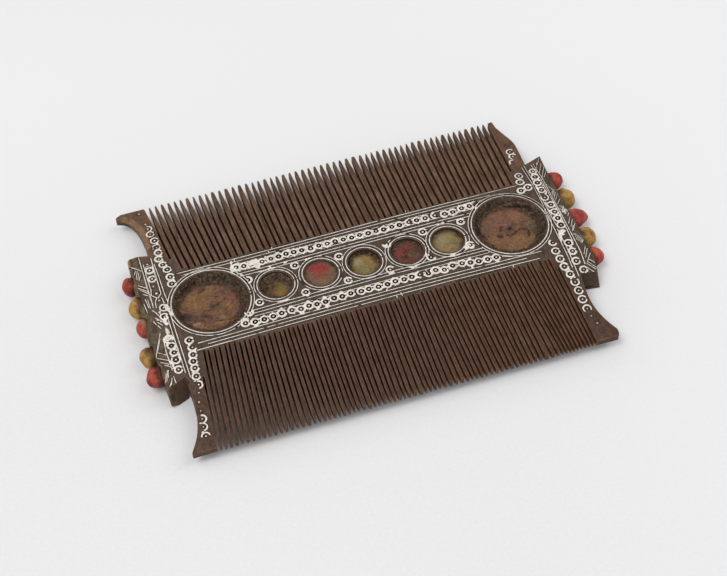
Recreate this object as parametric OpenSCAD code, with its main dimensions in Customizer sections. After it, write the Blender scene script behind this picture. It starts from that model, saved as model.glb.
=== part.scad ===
// Carved wooden comb with two rows of teeth, inlaid recesses and bead-studded ends.
// It lies flat on its underside, with +X along the spine and +Y towards the coarse teeth.
// Plan places are measured from the middle of the row of recesses, x along the spine.

/* [Spine] */
// Thickness of the comb along the middle of its spine
spine_t = 12; // [9:0.5:14]
// Distance from the recess line to the edge of the band on the coarse side
band_far = 18; // [17:0.5:19]
// Distance from the recess line to the edge of the band on the fine side
band_near = 20.5; // [19:0.5:22]
// Thickness of the comb at the tips of its teeth
tip_t = 2.6; // [1.8:0.2:5]
// How full the slope to the tips is, where 1 is straight
slope_power = 0.85; // [0.6:0.05:1]

/* [Coarse teeth] */
// Number of saw cuts in the coarse row
coarse_cuts = 56; // [20:1:60]
// Distance from the recess line to the coarse tips
coarse_reach = 58.35; // [50:0.5:62]
// Width of a coarse saw cut
coarse_kerf = 0.85; // [0.5:0.05:1]
// Width of a coarse tooth at its tip
coarse_tip_w = 0.95; // [0.6:0.05:1.2]
// Length of the taper at a coarse tip
coarse_taper = 12.5; // [4:0.5:20]

/* [Fine teeth] */
// Number of saw cuts in the fine row
fine_cuts = 76; // [30:1:80]
// Distance from the recess line to the fine tips
fine_reach = 60.2; // [50:0.5:62]
// Width of a fine saw cut
fine_kerf = 0.7; // [0.4:0.05:0.8]
// Width of a fine tooth at its tip
fine_tip_w = 1; // [0.5:0.05:1.1]
// Length of the taper at a fine tip
fine_taper = 3; // [2:0.5:12]

/* [Recesses] */
// Radius of the two large recesses
large_r = 14.2; // [12:0.1:14.5]
// Depth of the two large recesses
large_depth = 2.5; // [1:0.1:4]
// Radius of the five small recesses
small_r = 6.3; // [4:0.1:6.8]
// Depth of the five small recesses
small_depth = 2.2; // [1:0.1:4]

/* [Ends] */
// Distance from the middle to the inner side of an end block
block_in = 76.9; // [76.7:0.1:77.2]
// Distance from the middle to the bevel of an end block
bevel_from = 81; // [79:0.5:82]
// Width of the bevel where its drop is taken
bevel_w = 5; // [4:0.5:6]
// Drop of the bevel over its width, on top of both blocks and under the left one
bevel_drop = 2.4; // [0.5:0.1:3]
// Drop of the smaller bevel under the right block
bevel_low = 0.4; // [0.1:0.1:3]
// Radius of the peg that holds a bead
peg_r = 1.2; // [0.8:0.1:1.5]
// Depth of the hole that a bead's peg stands in
peg_depth = 2.4; // [1:0.2:4]

/* [Hidden] */
$fn = 64;
// Clearance round everything that is set into the wood
seat_gap = 0.05;
// Lines across the comb lean by this much, in mm of y for each mm of x
lean_far = 0.009;
lean_near = 0.005;
// Lengths over which a tooth's end is rounded, and how much by
tip_round = 0.8;
tip_nose = 0.2;
// The saw stopped unevenly, and the ends of the teeth are worn unevenly
stop_vary = 0.35;
wear_vary = 0.3;
slope_steps = 5;
peg_slack = 0.1;

// The cuts of each row from left to right: x at the band's edge and x at the tips
coarse_root_x = [
    -68.8, -66.1, -63.7, -61.2, -58.8, -56.5, -53.9, -51.6, -49.5, -47.3, -44.7, -42.2, -39.4,
    -36.7, -34.0, -31.7, -29.0, -27.0, -24.3, -21.6, -19.0, -16.5, -13.8, -11.3, -8.5, -5.9,
    -3.3, -0.9, 1.7, 4.3, 7.1, 10.0, 12.7, 15.0, 17.7, 20.2, 22.9, 25.4, 27.6, 30.0, 32.5, 34.8,
    37.8, 40.4, 42.8, 44.9, 47.5, 50.2, 52.5, 55.1, 57.3, 60.0, 62.6, 65.1, 67.9, 70.6
];
coarse_tip_x = [
    -72.7, -70.3, -67.8, -65.1, -62.5, -60.1, -57.6, -54.7, -52.3, -49.6, -47.2, -44.2, -41.6,
    -38.6, -36.0, -33.0, -30.3, -27.9, -25.4, -22.5, -20.2, -17.6, -14.7, -12.1, -9.4, -6.6,
    -4.1, -1.4, 1.3, 4.1, 6.7, 9.3, 12.2, 15.4, 18.1, 20.5, 22.8, 25.5, 28.2, 30.7, 33.2, 35.6,
    38.0, 40.8, 43.7, 46.3, 48.8, 51.1, 54.1, 56.4, 58.9, 61.4, 64.3, 67.2, 69.5, 71.9
];
fine_root_x = [
    -69.9, -67.7, -66.1, -63.9, -61.9, -59.7, -58.2, -56.2, -54.3, -52.5, -50.6, -48.9, -47.0,
    -45.1, -43.2, -41.2, -39.2, -37.5, -35.8, -34.0, -32.3, -30.3, -28.5, -26.8, -24.9, -23.3,
    -21.4, -19.4, -17.5, -15.7, -13.9, -11.8, -9.6, -7.9, -5.8, -4.1, -2.3, -0.2, 1.7, 3.3, 5.2,
    6.8, 8.9, 10.8, 12.7, 14.6, 16.2, 18.1, 19.7, 21.7, 23.4, 25.3, 27.1, 29.1, 31.0, 32.9,
    35.2, 37.0, 39.0, 41.0, 43.0, 44.7, 46.7, 48.7, 50.4, 51.8, 53.2, 55.0, 56.7, 58.6, 60.2,
    61.9, 63.5, 65.5, 67.1, 69.2
];
fine_tip_x = [
    -72.4, -70.7, -68.8, -66.8, -64.7, -62.8, -60.7, -58.6, -56.8, -54.6, -52.7, -50.5, -48.6,
    -46.6, -44.4, -42.5, -40.4, -38.0, -36.1, -34.3, -32.5, -30.6, -28.7, -27.1, -25.1, -23.2,
    -21.6, -19.9, -17.7, -15.5, -13.8, -12.0, -9.9, -8.1, -6.4, -4.2, -2.7, -0.7, 1.6, 3.9, 5.6,
    7.4, 9.2, 11.0, 13.0, 15.3, 17.4, 19.6, 21.7, 23.3, 25.1, 27.0, 29.0, 30.9, 33.0, 35.0,
    36.8, 38.9, 40.8, 42.4, 44.2, 46.2, 48.1, 50.0, 52.7, 55.0, 56.9, 58.4, 59.9, 61.4, 62.9,
    64.4, 65.9, 67.4, 68.9, 70.4
];
// How much shorter the cuts beside the end teeth are: left, right
coarse_short = [8, 8];
fine_short = [10, 5.2];

// Centres of the recesses along the spine
large_x = [-59.7, 59.6];
small_x = [-34.6, -17.0, 0.3, 17.5, 34.0];

// Outer edges of the four broad end teeth, from the end block out to the tip
edge_far_left = [[-77.4, 30.4], [-77.3, 40], [-78.9, 48.8], [-82, 53.4], [-85.5, 55]];
horn_far_left = [[-85.3, 56], [-83.3, 57.3]];
edge_far_right = [[77.6, 29.1], [78.2, 37], [78.3, 43.5], [76.5, 50], [75, 55]];
horn_far_right = [[74.8, 59.1]];
edge_near_left = [[-76.4, -31.8], [-76.3, -38], [-76.8, -47], [-78.6, -54], [-81.7, -59.8]];
horn_near_left = [[-81.8, -60.6]];
edge_near_right = [[76.5, -30.4], [75.5, -39], [75.9, -46], [77.7, -52], [80.3, -57]];
horn_near_right = [[80.2, -58.4], [79.6, -59.8]];
// Outer faces of the end blocks, from the near end to the far one. Columns: y, x
face_left = [[-35, -83.9], [-20, -84.9], [-9, -85.9], [15, -85.9], [32.4, -85.6]];
face_right = [[-31.8, 85.1], [-18, 85.2], [0, 85.2], [20, 84.5], [32, 85.1]];
corner_r = 1.3;
// How far the near end of the left block leans out from its top to its bottom
near_lean = 2.4;
// The worn upper corner at the near end of the right block: plan angle, lean
worn_turn = [-12, 11.5];

// Columns: y, distance of its base from the middle, radius, how far it stands out of its
// base, power of its nose (2 is round, 1.3 pointed)
left_beads = [
    [20.8, 85.3, 4.15, 4.8, 2.8],
    [9.8, 84.5, 4.3, 5.4, 2.5],
    [-0.4, 83.6, 4.2, 5.5, 2.4],
    [-14.0, 85.0, 4.1, 5.7, 3.0],
    [-23.6, 84.3, 4.3, 6.1, 2.6]
];
right_beads = [
    [20.8, 84.4, 4.05, 6.4, 2.4],
    [10.3, 84.4, 4.6, 7.2, 2.6],
    [-0.4, 84.6, 4.4, 8.2, 1.6],
    [-10.9, 84.6, 4.4, 7.0, 2.7],
    [-20.8, 84.2, 4.15, 6.3, 2.4]
];
bead_steps = 8;
// Slack round a bead in the flat that is cut for it
bead_slack = 0.15;

// Columns: height of the fill at the wall, height at its middle
inlay_form = [[0.9, 0.35], [1.0, 0.9], [1.2, 1.35], [1.0, 0.55], [1.5, 1.75]];
// Columns: width of the putty ring, height at the wall, height at its inner edge
putty_form = [[2.5, 1.3, 0.35], [2.9, 1.1, 0.3]];

// Middle of the whole comb, over its beads and its tips
mid_x = (right_beads[2][1] + right_beads[2][3] - left_beads[3][1] - left_beads[3][3]) / 2;
mid_y = (horn_far_right[0][1] + horn_near_left[0][1]) / 2;

function mix(a, b, t) = a + (b - a) * t;

// The value a share t of the way along a list
function along(p, t) = let (s = t * (len(p) - 1), k = min(floor(s), len(p) - 2))
    mix(p[k], p[k + 1], s - k);

// A smooth line through a few points
function smooth_point(p, i, t) =
    let (a = p[max(i - 1, 0)], b = p[i], c = p[i + 1], d = p[min(i + 2, len(p) - 1)])
    0.5 * (2 * b + (c - a) * t + (2 * a - 5 * b + 4 * c - d) * t * t
        + (3 * b - a - 3 * c + d) * t * t * t);
function smooth_line(p, steps = 4) = concat(
    [for (i = [0 : len(p) - 2], k = [0 : steps - 1]) smooth_point(p, i, k / steps)],
    [p[len(p) - 1]]);
function backwards(p) = [for (i = [len(p) - 1 : -1 : 0]) p[i]];

// One side of a saw cut, from its stop to the tips: offset and place along the cut
function cut_side(length, kerf, mouth, taper) = [
    [kerf / 2, 0],
    [kerf / 2, length - taper],
    [mouth / 2, length - tip_round],
    [mouth / 2 + tip_nose, length]
];

// The outline of one saw cut, from its left corner at the tips round to its right one
function cut_outline(root, tip, kerf, mouth, taper) =
    let (along = tip - root, length = norm(along), u = along / length, v = [u[1], -u[0]],
         side = cut_side(length, kerf, mouth, taper), turn = u[1] > 0 ? 1 : -1)
    concat(
        [for (i = [3 : -1 : 0]) root + u * side[i][1] - v * side[i][0] * turn],
        [for (i = [0 : 3]) root + u * side[i][1] + v * side[i][0] * turn]);

// All the cuts of one row, from left to right
function row_of_cuts(n, root_x, tip_x, root_y, tip_y, lean, kerf, tip_w, taper, short, seed) =
    let (stops = rands(-stop_vary, stop_vary, n, seed), ends = rands(0, wear_vary, n, seed + 1),
         out = tip_y > 0 ? 1 : -1,
         mouth = (along(tip_x, 1) - along(tip_x, 0)) / (n - 1) - tip_w)
    [for (i = [0 : n - 1])
        let (t = i / (n - 1), xr = along(root_x, t), xt = along(tip_x, t),
             root = [xr, root_y + lean * xr], tip = [xt, tip_y + lean * xt - out * ends[i]],
             less = i == 0 ? short[0] : i == n - 1 ? short[1] : stops[i],
             start = root + (tip - root) * less / norm(tip - root))
        each cut_outline(start, tip, kerf, mouth, taper)];

function coarse_row() = row_of_cuts(coarse_cuts, coarse_root_x, coarse_tip_x, band_far + 0.6,
    coarse_reach, lean_far, coarse_kerf, coarse_tip_w, coarse_taper, coarse_short, 11);
function fine_row() = row_of_cuts(fine_cuts, fine_root_x, fine_tip_x, -band_near - 0.4,
    -fine_reach, lean_near, fine_kerf, fine_tip_w, fine_taper, fine_short, 23);

// The rounded far corner of the left end block
corner_far_left = [face_left[len(face_left) - 1][1], face_left[len(face_left) - 1][0]];
function round_corner(c, r) = [for (a = [90 : 22.5 : 180]) c + r * [1 + cos(a), sin(a) - 1]];

// The whole plan of the comb, clockwise from the near left tip
function comb_plan() = concat(
    backwards(smooth_line(edge_near_left)),
    [for (i = [0 : len(face_left) - 2]) [face_left[i][1], face_left[i][0]]],
    backwards(round_corner(corner_far_left, corner_r)),
    smooth_line(edge_far_left), horn_far_left,
    coarse_row(),
    backwards(concat(smooth_line(edge_far_right), horn_far_right)),
    [for (f = backwards(face_right)) [f[1], f[0]]],
    smooth_line(edge_near_right), horn_near_right,
    backwards(fine_row()),
    horn_near_left);

// Height lost at a place along the slope to the tips, t from 0 to 1
function slope_drop(t) = (spine_t - tip_t) / 2 * pow(t, slope_power);
function slope_side(edge, reach) = [for (i = [0 : slope_steps])
    let (t = i / slope_steps) [mix(edge, reach, t), spine_t - slope_drop(t)]];

// The upper side of the section across the spine, y across and z up
function section_top() = concat(backwards(slope_side(-band_near, -fine_reach - 1)),
    slope_side(band_far, coarse_reach + 1));
// Its lower side: the same slopes under the teeth, and flat under the end blocks
function section_under(flat) =
    [for (p = backwards(section_top())) [p[0], flat ? 0 : spine_t - p[1]]];

// The section along the spine, with the bevels of the end blocks, x along and z up
function end_section() =
    let (reach = bevel_from + 2 * bevel_w, low = 2 * bevel_drop)
    [[-reach, low], [-bevel_from, 0], [bevel_from, 0], [reach, 2 * bevel_low],
     [reach, spine_t - low], [bevel_from, spine_t], [-bevel_from, spine_t],
     [-reach, spine_t - low]];

// Moves a piece so that the middle of the comb's underside is the origin
module centred() {
    translate([-mid_x, -mid_y, 0]) children();
}

// The upright slab of one section, between two places along the spine
module slab(from, to, flat) translate([from, 0, 0]) rotate([90, 0, 90])
    linear_extrude(to - from) polygon(concat(section_top(), section_under(flat)));

// The y at x of the line through two points
function line_y(a, b, x) = a[1] + (b[1] - a[1]) * (x - a[0]) / (b[0] - a[0]);

// The slab of one end block, flat below, out from the lines of its near and its far end
module end_slab(side, face, near, far) {
    from = side * block_in;
    to = side * 100;
    low = [face[0][1], face[0][0]];
    high = [face[len(face) - 1][1], face[len(face) - 1][0]];
    intersection() {
        slab(min(from, to), max(from, to), true);
        linear_extrude(spine_t) polygon([
            [from, line_y(near, low, from)], [to, line_y(near, low, to)],
            [to, line_y(far, high, to)], [from, line_y(far, high, from)]
        ]);
    }
}

// What is cut away so that the near end of the left block leans
module end_wedge() {
    outer = [face_left[0][1], face_left[0][0]];
    across = edge_near_left[0] - outer;
    translate([outer[0], outer[1], 0]) rotate([0, 0, atan2(across[1], across[0])])
        translate([-1, 0, 0]) rotate([90, 0, 90]) linear_extrude(norm(across) + 1.5)
            polygon([[-1, 0], [0, 0], [near_lean, spine_t], [near_lean, spine_t + 1],
                [-1, spine_t + 1]]);
}

// What is worn away from the near corner of the right block, nothing at its foot
module worn_corner() {
    translate([face_right[0][1], face_right[0][0], 0]) rotate([0, -worn_turn[1], worn_turn[0]])
        translate([0, -20, -5]) cube([8, 40, 30]);
}

// The flat and the peg hole that each bead of one end sits in
module bead_seats(row, side) {
    for (b = row) translate([side * b[1], b[0], spine_t / 2]) rotate([0, side * 90, 0]) {
        cylinder(r = b[2] + bead_slack, h = 4);
        translate([0, 0, -peg_depth]) cylinder(r = peg_r + peg_slack, h = peg_depth + 1);
    }
}

module comb_body() color("#5a4638") centred() difference() {
    intersection() {
        linear_extrude(spine_t) polygon(comb_plan());
        translate([0, 80, 0]) rotate([90, 0, 0]) linear_extrude(160) polygon(end_section());
        union() {
            slab(-100, 100, false);
            end_slab(-1, face_left, edge_near_left[0], edge_far_left[0]);
            end_slab(1, face_right, edge_near_right[0], edge_far_right[0]);
        }
    }
    end_wedge();
    worn_corner();
    for (x = large_x) translate([x, 0, spine_t - large_depth])
        cylinder(r = large_r, h = large_depth + 1);
    for (x = small_x) translate([x, 0, spine_t - small_depth])
        cylinder(r = small_r, h = small_depth + 1);
    bead_seats(left_beads, -1);
    bead_seats(right_beads, 1);
}

// The ring of old putty that is left along the wall of a large recess
module putty(i) color("#4c4438") centred()
    translate([large_x[i], 0, spine_t - large_depth + seat_gap]) rotate_extrude()
        polygon([
            [large_r - putty_form[i][0], 0], [large_r - seat_gap, 0],
            [large_r - seat_gap, putty_form[i][1]],
            [large_r - putty_form[i][0] / 2, putty_form[i][1] / 2 + 0.2],
            [large_r - putty_form[i][0], putty_form[i][2]]
        ]);

// The coloured fill in a small recess
module inlay(i, tint) color(tint) centred()
    translate([small_x[i], 0, spine_t - small_depth + seat_gap]) rotate_extrude()
        polygon([
            [0, 0], [small_r - seat_gap, 0], [small_r - seat_gap, inlay_form[i][0]],
            [small_r * 0.6, mix(inlay_form[i][0], inlay_form[i][1], 0.7)], [0, inlay_form[i][1]]
        ]);

// One bead on its peg, in the flat that is cut for it in the end block
module bead(row, i, side, tint) {
    y = row[i][0];
    base = row[i][1];
    r = row[i][2];
    out = row[i][3];
    power = row[i][4];
    profile = [for (k = [0 : bead_steps])
        let (t = sin(90 * k / bead_steps)) [r * pow(max(1 - pow(t, power), 0), 0.5), t * out]];
    color(tint) centred() translate([side * (base + seat_gap), y, spine_t / 2])
        rotate([0, side * 90, 0]) rotate_extrude()
            polygon(concat(profile, [[0, 0.2 - peg_depth], [peg_r, 0.2 - peg_depth], [peg_r, 0]]));
}

comb_body();
putty(0);  // putty_left
putty(1);  // putty_right
inlay(0, "#5b5138");  // inlay_1
inlay(1, "#a5503c");  // inlay_2
inlay(2, "#7d6a3a");  // inlay_3
inlay(3, "#7c3a2c");  // inlay_4
inlay(4, "#8f8656");  // inlay_5
bead(left_beads, 0, -1, "#a8443a");  // bead_left_1
bead(left_beads, 1, -1, "#b98c42");  // bead_left_2
bead(left_beads, 2, -1, "#a8443a");  // bead_left_3
bead(left_beads, 3, -1, "#b98c42");  // bead_left_4
bead(left_beads, 4, -1, "#a8443a");  // bead_left_5
bead(right_beads, 0, 1, "#a8443a");  // bead_right_1
bead(right_beads, 1, 1, "#b98c42");  // bead_right_2
bead(right_beads, 2, 1, "#a8443a");  // bead_right_3
bead(right_beads, 3, 1, "#b98c42");  // bead_right_4
bead(right_beads, 4, 1, "#a8443a");  // bead_right_5
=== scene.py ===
"""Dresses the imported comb: worn wood, paste-filled marks and lines, old putty, inlays and beads.

Plan places are in millimetres from the middle of the row of recesses, x along the spine and
y towards the coarse teeth. Heights are in millimetres above the flat underside.
"""
import logging
import math
import random
from dataclasses import dataclass, field
from enum import Enum
from typing import Callable, Optional, Sequence, Union

import bmesh
import bpy
from mathutils import Matrix, Vector, noise
from mathutils.bvhtree import BVHTree


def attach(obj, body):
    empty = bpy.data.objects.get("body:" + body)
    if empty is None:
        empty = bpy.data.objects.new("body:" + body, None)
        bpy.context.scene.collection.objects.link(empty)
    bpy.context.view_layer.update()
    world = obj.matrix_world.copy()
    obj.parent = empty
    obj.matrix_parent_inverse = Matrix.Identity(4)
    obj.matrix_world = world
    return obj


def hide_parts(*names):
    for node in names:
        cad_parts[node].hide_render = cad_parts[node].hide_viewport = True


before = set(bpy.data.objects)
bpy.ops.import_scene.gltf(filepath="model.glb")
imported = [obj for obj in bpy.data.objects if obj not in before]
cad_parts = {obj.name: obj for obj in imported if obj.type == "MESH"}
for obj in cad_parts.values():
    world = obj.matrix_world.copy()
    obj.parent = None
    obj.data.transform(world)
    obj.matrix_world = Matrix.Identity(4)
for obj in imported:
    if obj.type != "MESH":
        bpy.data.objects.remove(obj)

log = logging.getLogger("comb")

MM = 0.001
MID_X, MID_Y = 1.05, -0.75
LARGE_X = (-59.7, 59.6)
SMALL_X = (-34.6, -17.0, 0.3, 17.5, 34.0)
Point = tuple[float, float]
Path = Callable[[float], Point]
# Each layer of noise: its height, the shift of its seed, the size of its features
Layers = tuple[tuple[float, float, float], ...]


def srgb(r: float, g: float, b: float) -> tuple[float, float, float, float]:
    """Turns a screen colour into the linear colour that a shader takes.

    Args:
        r: red, from 0 to 255.
        g: green.
        b: blue.

    Returns:
        The colour, opaque.
    """
    def lin(c: float) -> float:
        """Takes one channel off the screen's curve."""
        c /= 255
        return c / 12.92 if c <= 0.04045 else ((c + 0.055) / 1.055) ** 2.4
    return lin(r), lin(g), lin(b), 1.0


def smooth(t: float, low: float = 0.0, high: float = 1.0) -> float:
    """Rises smoothly from 0 where t is low to 1 where it is high."""
    t = min(max((t - low) / (high - low), 0.0), 1.0)
    return t * t * (3 - 2 * t)


def wander(x: float, y: float, seed: float, size: float = 1.0) -> float:
    """Smooth noise from about -1 to 1 at a place on the plan, with features of one size."""
    return noise.noise(Vector((x / size, y / size, seed * 7.31)))


def layered(x: float, y: float, seed: float, layers: Layers) -> float:
    """Adds up the layers of noise at a place on the plan."""
    return sum(height * wander(x, y, seed + shift, size) for height, shift, size in layers)


# The decorated face


@dataclass(frozen=True)
class TopFace:
    """The decorated side: a flat spine, a slope to each row of tips, and bevelled ends.

    The slope is cut in flat steps that follow a power of its length down to the tips'
    thickness. A mark looks down from ray_from over the spine for the carved wood, and takes
    what lies within reach of the face.
    """

    thickness: float = 12.0
    band_far: float = 18.0
    band_near: float = 20.5
    far_end: float = 59.35
    near_end: float = 61.2
    tip_t: float = 2.6
    power: float = 0.85
    steps: int = 5
    bevel_from: float = 81.0
    bevel_fall: float = 0.48
    ray_from: float = 5.0
    reach: float = 0.5
    carved: Optional[BVHTree] = None

    def drop(self, t: float) -> float:
        """Height lost on the slope to the tips.

        Args:
            t: share of the slope's length, from 0 at the spine to 1 at the tips.

        Returns:
            The loss in millimetres.
        """
        if t <= 0:
            return 0.0
        k = min(int(t * self.steps), self.steps - 1)
        a, b = ((k + i) / self.steps for i in (0, 1))
        full = (self.thickness - self.tip_t) / 2
        low, high = (full * s ** self.power for s in (a, b))
        return low + (high - low) * (t - a) * self.steps

    def height(self, x: float, y: float) -> float:
        """Height of the face over the underside.

        Args:
            x: place on the plan, along the spine.
            y: place on the plan, towards the coarse teeth.

        Returns:
            The height in millimetres.
        """
        t = max((y - self.band_far) / (self.far_end - self.band_far),
                (-y - self.band_near) / (self.near_end - self.band_near))
        bevel = self.bevel_fall * max(abs(x) - self.bevel_from, 0.0)
        return self.thickness - max(self.drop(t), bevel)

    def place(self, x: float, y: float, lift: float = 0.0) -> Vector:
        """Sets a place on the carved wood.

        Args:
            x: place on the plan, along the spine.
            y: place on the plan, towards the coarse teeth.
            lift: how far above the wood the point lies, in millimetres.

        Returns:
            The point in the comb's frame, in metres.
        """
        z = self.height(x, y)
        found = self._below(x, y)
        return Vector((x - MID_X, y - MID_Y, (z if found is None else found) + lift)) * MM

    def bare(self, x: float, y: float) -> bool:
        """Whether there is no wood just below the face here, as over a recess or a kerf."""
        return self._below(x, y) is None

    def _below(self, x: float, y: float) -> Optional[float]:
        """Height of the carved wood at a place.

        Args:
            x: place on the plan, along the spine.
            y: place on the plan, towards the coarse teeth.

        Returns:
            The height in millimetres, or None where the wood isn't near the face.
        """
        if not self.carved:
            return None
        start = Vector((x - MID_X, y - MID_Y, self.thickness + self.ray_from)) * MM
        hit = self.carved.ray_cast(start, Vector((0, 0, -1)))[0]
        return hit.z / MM if hit and abs(hit.z / MM - self.height(x, y)) < self.reach else None


# Shader expressions


class Link:
    """A value in a material. Arithmetic on it adds Math nodes."""

    def __init__(self, graph: "Graph", socket: bpy.types.NodeSocket) -> None:
        """Wraps one output socket of a graph."""
        self.graph, self.socket = graph, socket

    def _math(self, operation: str, a: "Number", b: "Number") -> "Link":
        """Adds one Math node on two values."""
        return self.graph.node("ShaderNodeMath", {"operation": operation}, {0: a, 1: b})

    def __add__(self, other: "Number") -> "Link":
        """Adds."""
        return self._math("ADD", self, other)

    def __sub__(self, other: "Number") -> "Link":
        """Subtracts."""
        return self._math("SUBTRACT", self, other)

    def __rsub__(self, other: "Number") -> "Link":
        """Subtracts from a number."""
        return self._math("SUBTRACT", other, self)

    def __mul__(self, other: "Number") -> "Link":
        """Multiplies."""
        return self._math("MULTIPLY", self, other)

    __radd__ = __add__
    __rmul__ = __mul__

    def size(self) -> "Link":
        """Takes the sign away."""
        return self._math("ABSOLUTE", self, 0.0)

    def most(self, other: "Number") -> "Link":
        """Takes the larger of two values."""
        return self._math("MAXIMUM", self, other)


Number = Union[Link, float]
Colour = Union[Link, tuple[float, float, float, float]]


class Graph:
    """The node tree of one material, with places read in millimetres."""

    def __init__(self, name: str) -> None:
        """Starts a material with a Principled shader and the object's own coordinates.

        Args:
            name: the material's name.
        """
        self.material = bpy.data.materials.new(name)
        self.material.use_nodes = True
        self.tree = self.material.node_tree
        self.shader = self.tree.nodes["Principled BSDF"]
        coords = self.tree.nodes.new("ShaderNodeTexCoord")
        self.mm = self.node("ShaderNodeVectorMath", {"operation": "SCALE"},
                            {0: Link(self, coords.outputs["Object"]), "Scale": 1000.0})

    def node(self, kind: str, settings: Optional[dict] = None, inputs: Optional[dict] = None,
             output: Union[int, str] = 0) -> Link:
        """Adds a node.

        Args:
            kind: the node's type.
            settings: its properties, and a ramp's stops under the name "stops".
            inputs: numbers, colours or links by socket name or number.
            output: which output socket comes back.

        Returns:
            The link of that output.
        """
        made = self.tree.nodes.new(kind)
        for name, value in (settings or {}).items():
            if name == "stops":
                elements = made.color_ramp.elements
                while len(elements) < len(value):
                    elements.new(0.5)
                for element, (at, colour) in zip(elements, value):
                    element.position, element.color = at, colour
            else:
                setattr(made, name, value)
        for name, value in (inputs or {}).items():
            if isinstance(value, Link):
                self.tree.links.new(value.socket, made.inputs[name])
            else:
                made.inputs[name].default_value = value
        return Link(self, made.outputs[output])

    def axis(self, which: str, source: Optional[Link] = None) -> Link:
        """One coordinate, X, Y or Z, of a vector, or of the place in millimetres."""
        return self.node("ShaderNodeSeparateXYZ", {}, {0: source or self.mm}, which)

    def at(self, scale: Sequence[float], shift: float = 0.0) -> Link:
        """The place, stretched along each axis and moved away from the origin."""
        return self.node("ShaderNodeMapping", {},
                         {"Vector": self.mm, "Scale": scale, "Location": (shift, shift, shift)})

    def cloud(self, scale: Sequence[float], detail: float = 3.0, shift: float = 0.0,
              rough: float = 0.55) -> Link:
        """Noise whose frequency in features per millimetre is given for each axis."""
        return self.node("ShaderNodeTexNoise", {}, {
            "Vector": self.at(scale, shift), "Scale": 1.0, "Detail": detail, "Roughness": rough})

    def step(self, value: Number, low: float, high: float) -> Link:
        """Maps a value to a smooth mask, 0 at low and 1 at high."""
        return self.node("ShaderNodeMapRange", {"interpolation_type": "SMOOTHSTEP"},
                         {"Value": value, "From Min": low, "From Max": high})

    def ramp(self, value: Number, *stops: tuple[float, Colour]) -> Link:
        """Maps a value to colours."""
        return self.node("ShaderNodeValToRGB", {"stops": stops}, {0: value})

    def blend(self, a: Colour, b: Colour, share: Number, way: str = "MIX") -> Link:
        """Mixes colour b over colour a."""
        return self.node("ShaderNodeMix", {"data_type": "RGBA", "blend_type": way},
                         {0: share, 6: a, 7: b}, 2)

    def shade(self, colour: Link, share: Number) -> Link:
        """Makes a colour lighter or darker by a factor."""
        return self.node("ShaderNodeVectorMath", {"operation": "SCALE"},
                         {0: colour, "Scale": share})

    def distance(self, x: float, y: float) -> Link:
        """Distance on the plan from a place.

        Args:
            x: the place, along the spine.
            y: the place, towards the coarse teeth.

        Returns:
            The distance in millimetres.
        """
        dx, dy = self.axis("X") - (x - MID_X), self.axis("Y") - (y - MID_Y)
        return self.node("ShaderNodeMath", {"operation": "SQRT"}, {0: dx * dx + dy * dy})

    def finish(self, colour: Colour, roughness: Number, bumps: Sequence[tuple[Link, float]],
               **constants: float) -> bpy.types.Material:
        """Wires the shader.

        Args:
            colour: base colour.
            roughness: a number or a varying value.
            bumps: heights from 0 to 1, each with its depth in millimetres.
            constants: other sockets by name, with _ for a space.

        Returns:
            The finished material.
        """
        for name, value in (("Base Color", colour), ("Roughness", roughness)):
            if isinstance(value, Link):
                self.tree.links.new(value.socket, self.shader.inputs[name])
            else:
                self.shader.inputs[name].default_value = value
        normal: Optional[Link] = None
        for height, depth in bumps:
            inputs = {"Height": height, "Distance": depth * MM, "Strength": 1.0}
            if normal:
                inputs["Normal"] = normal
            normal = self.node("ShaderNodeBump", {}, inputs)
        if normal:
            self.tree.links.new(normal.socket, self.shader.inputs["Normal"])
        for name, value in constants.items():
            self.shader.inputs[name.replace("_", " ")].default_value = value
        return self.material


# Finishes


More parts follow.
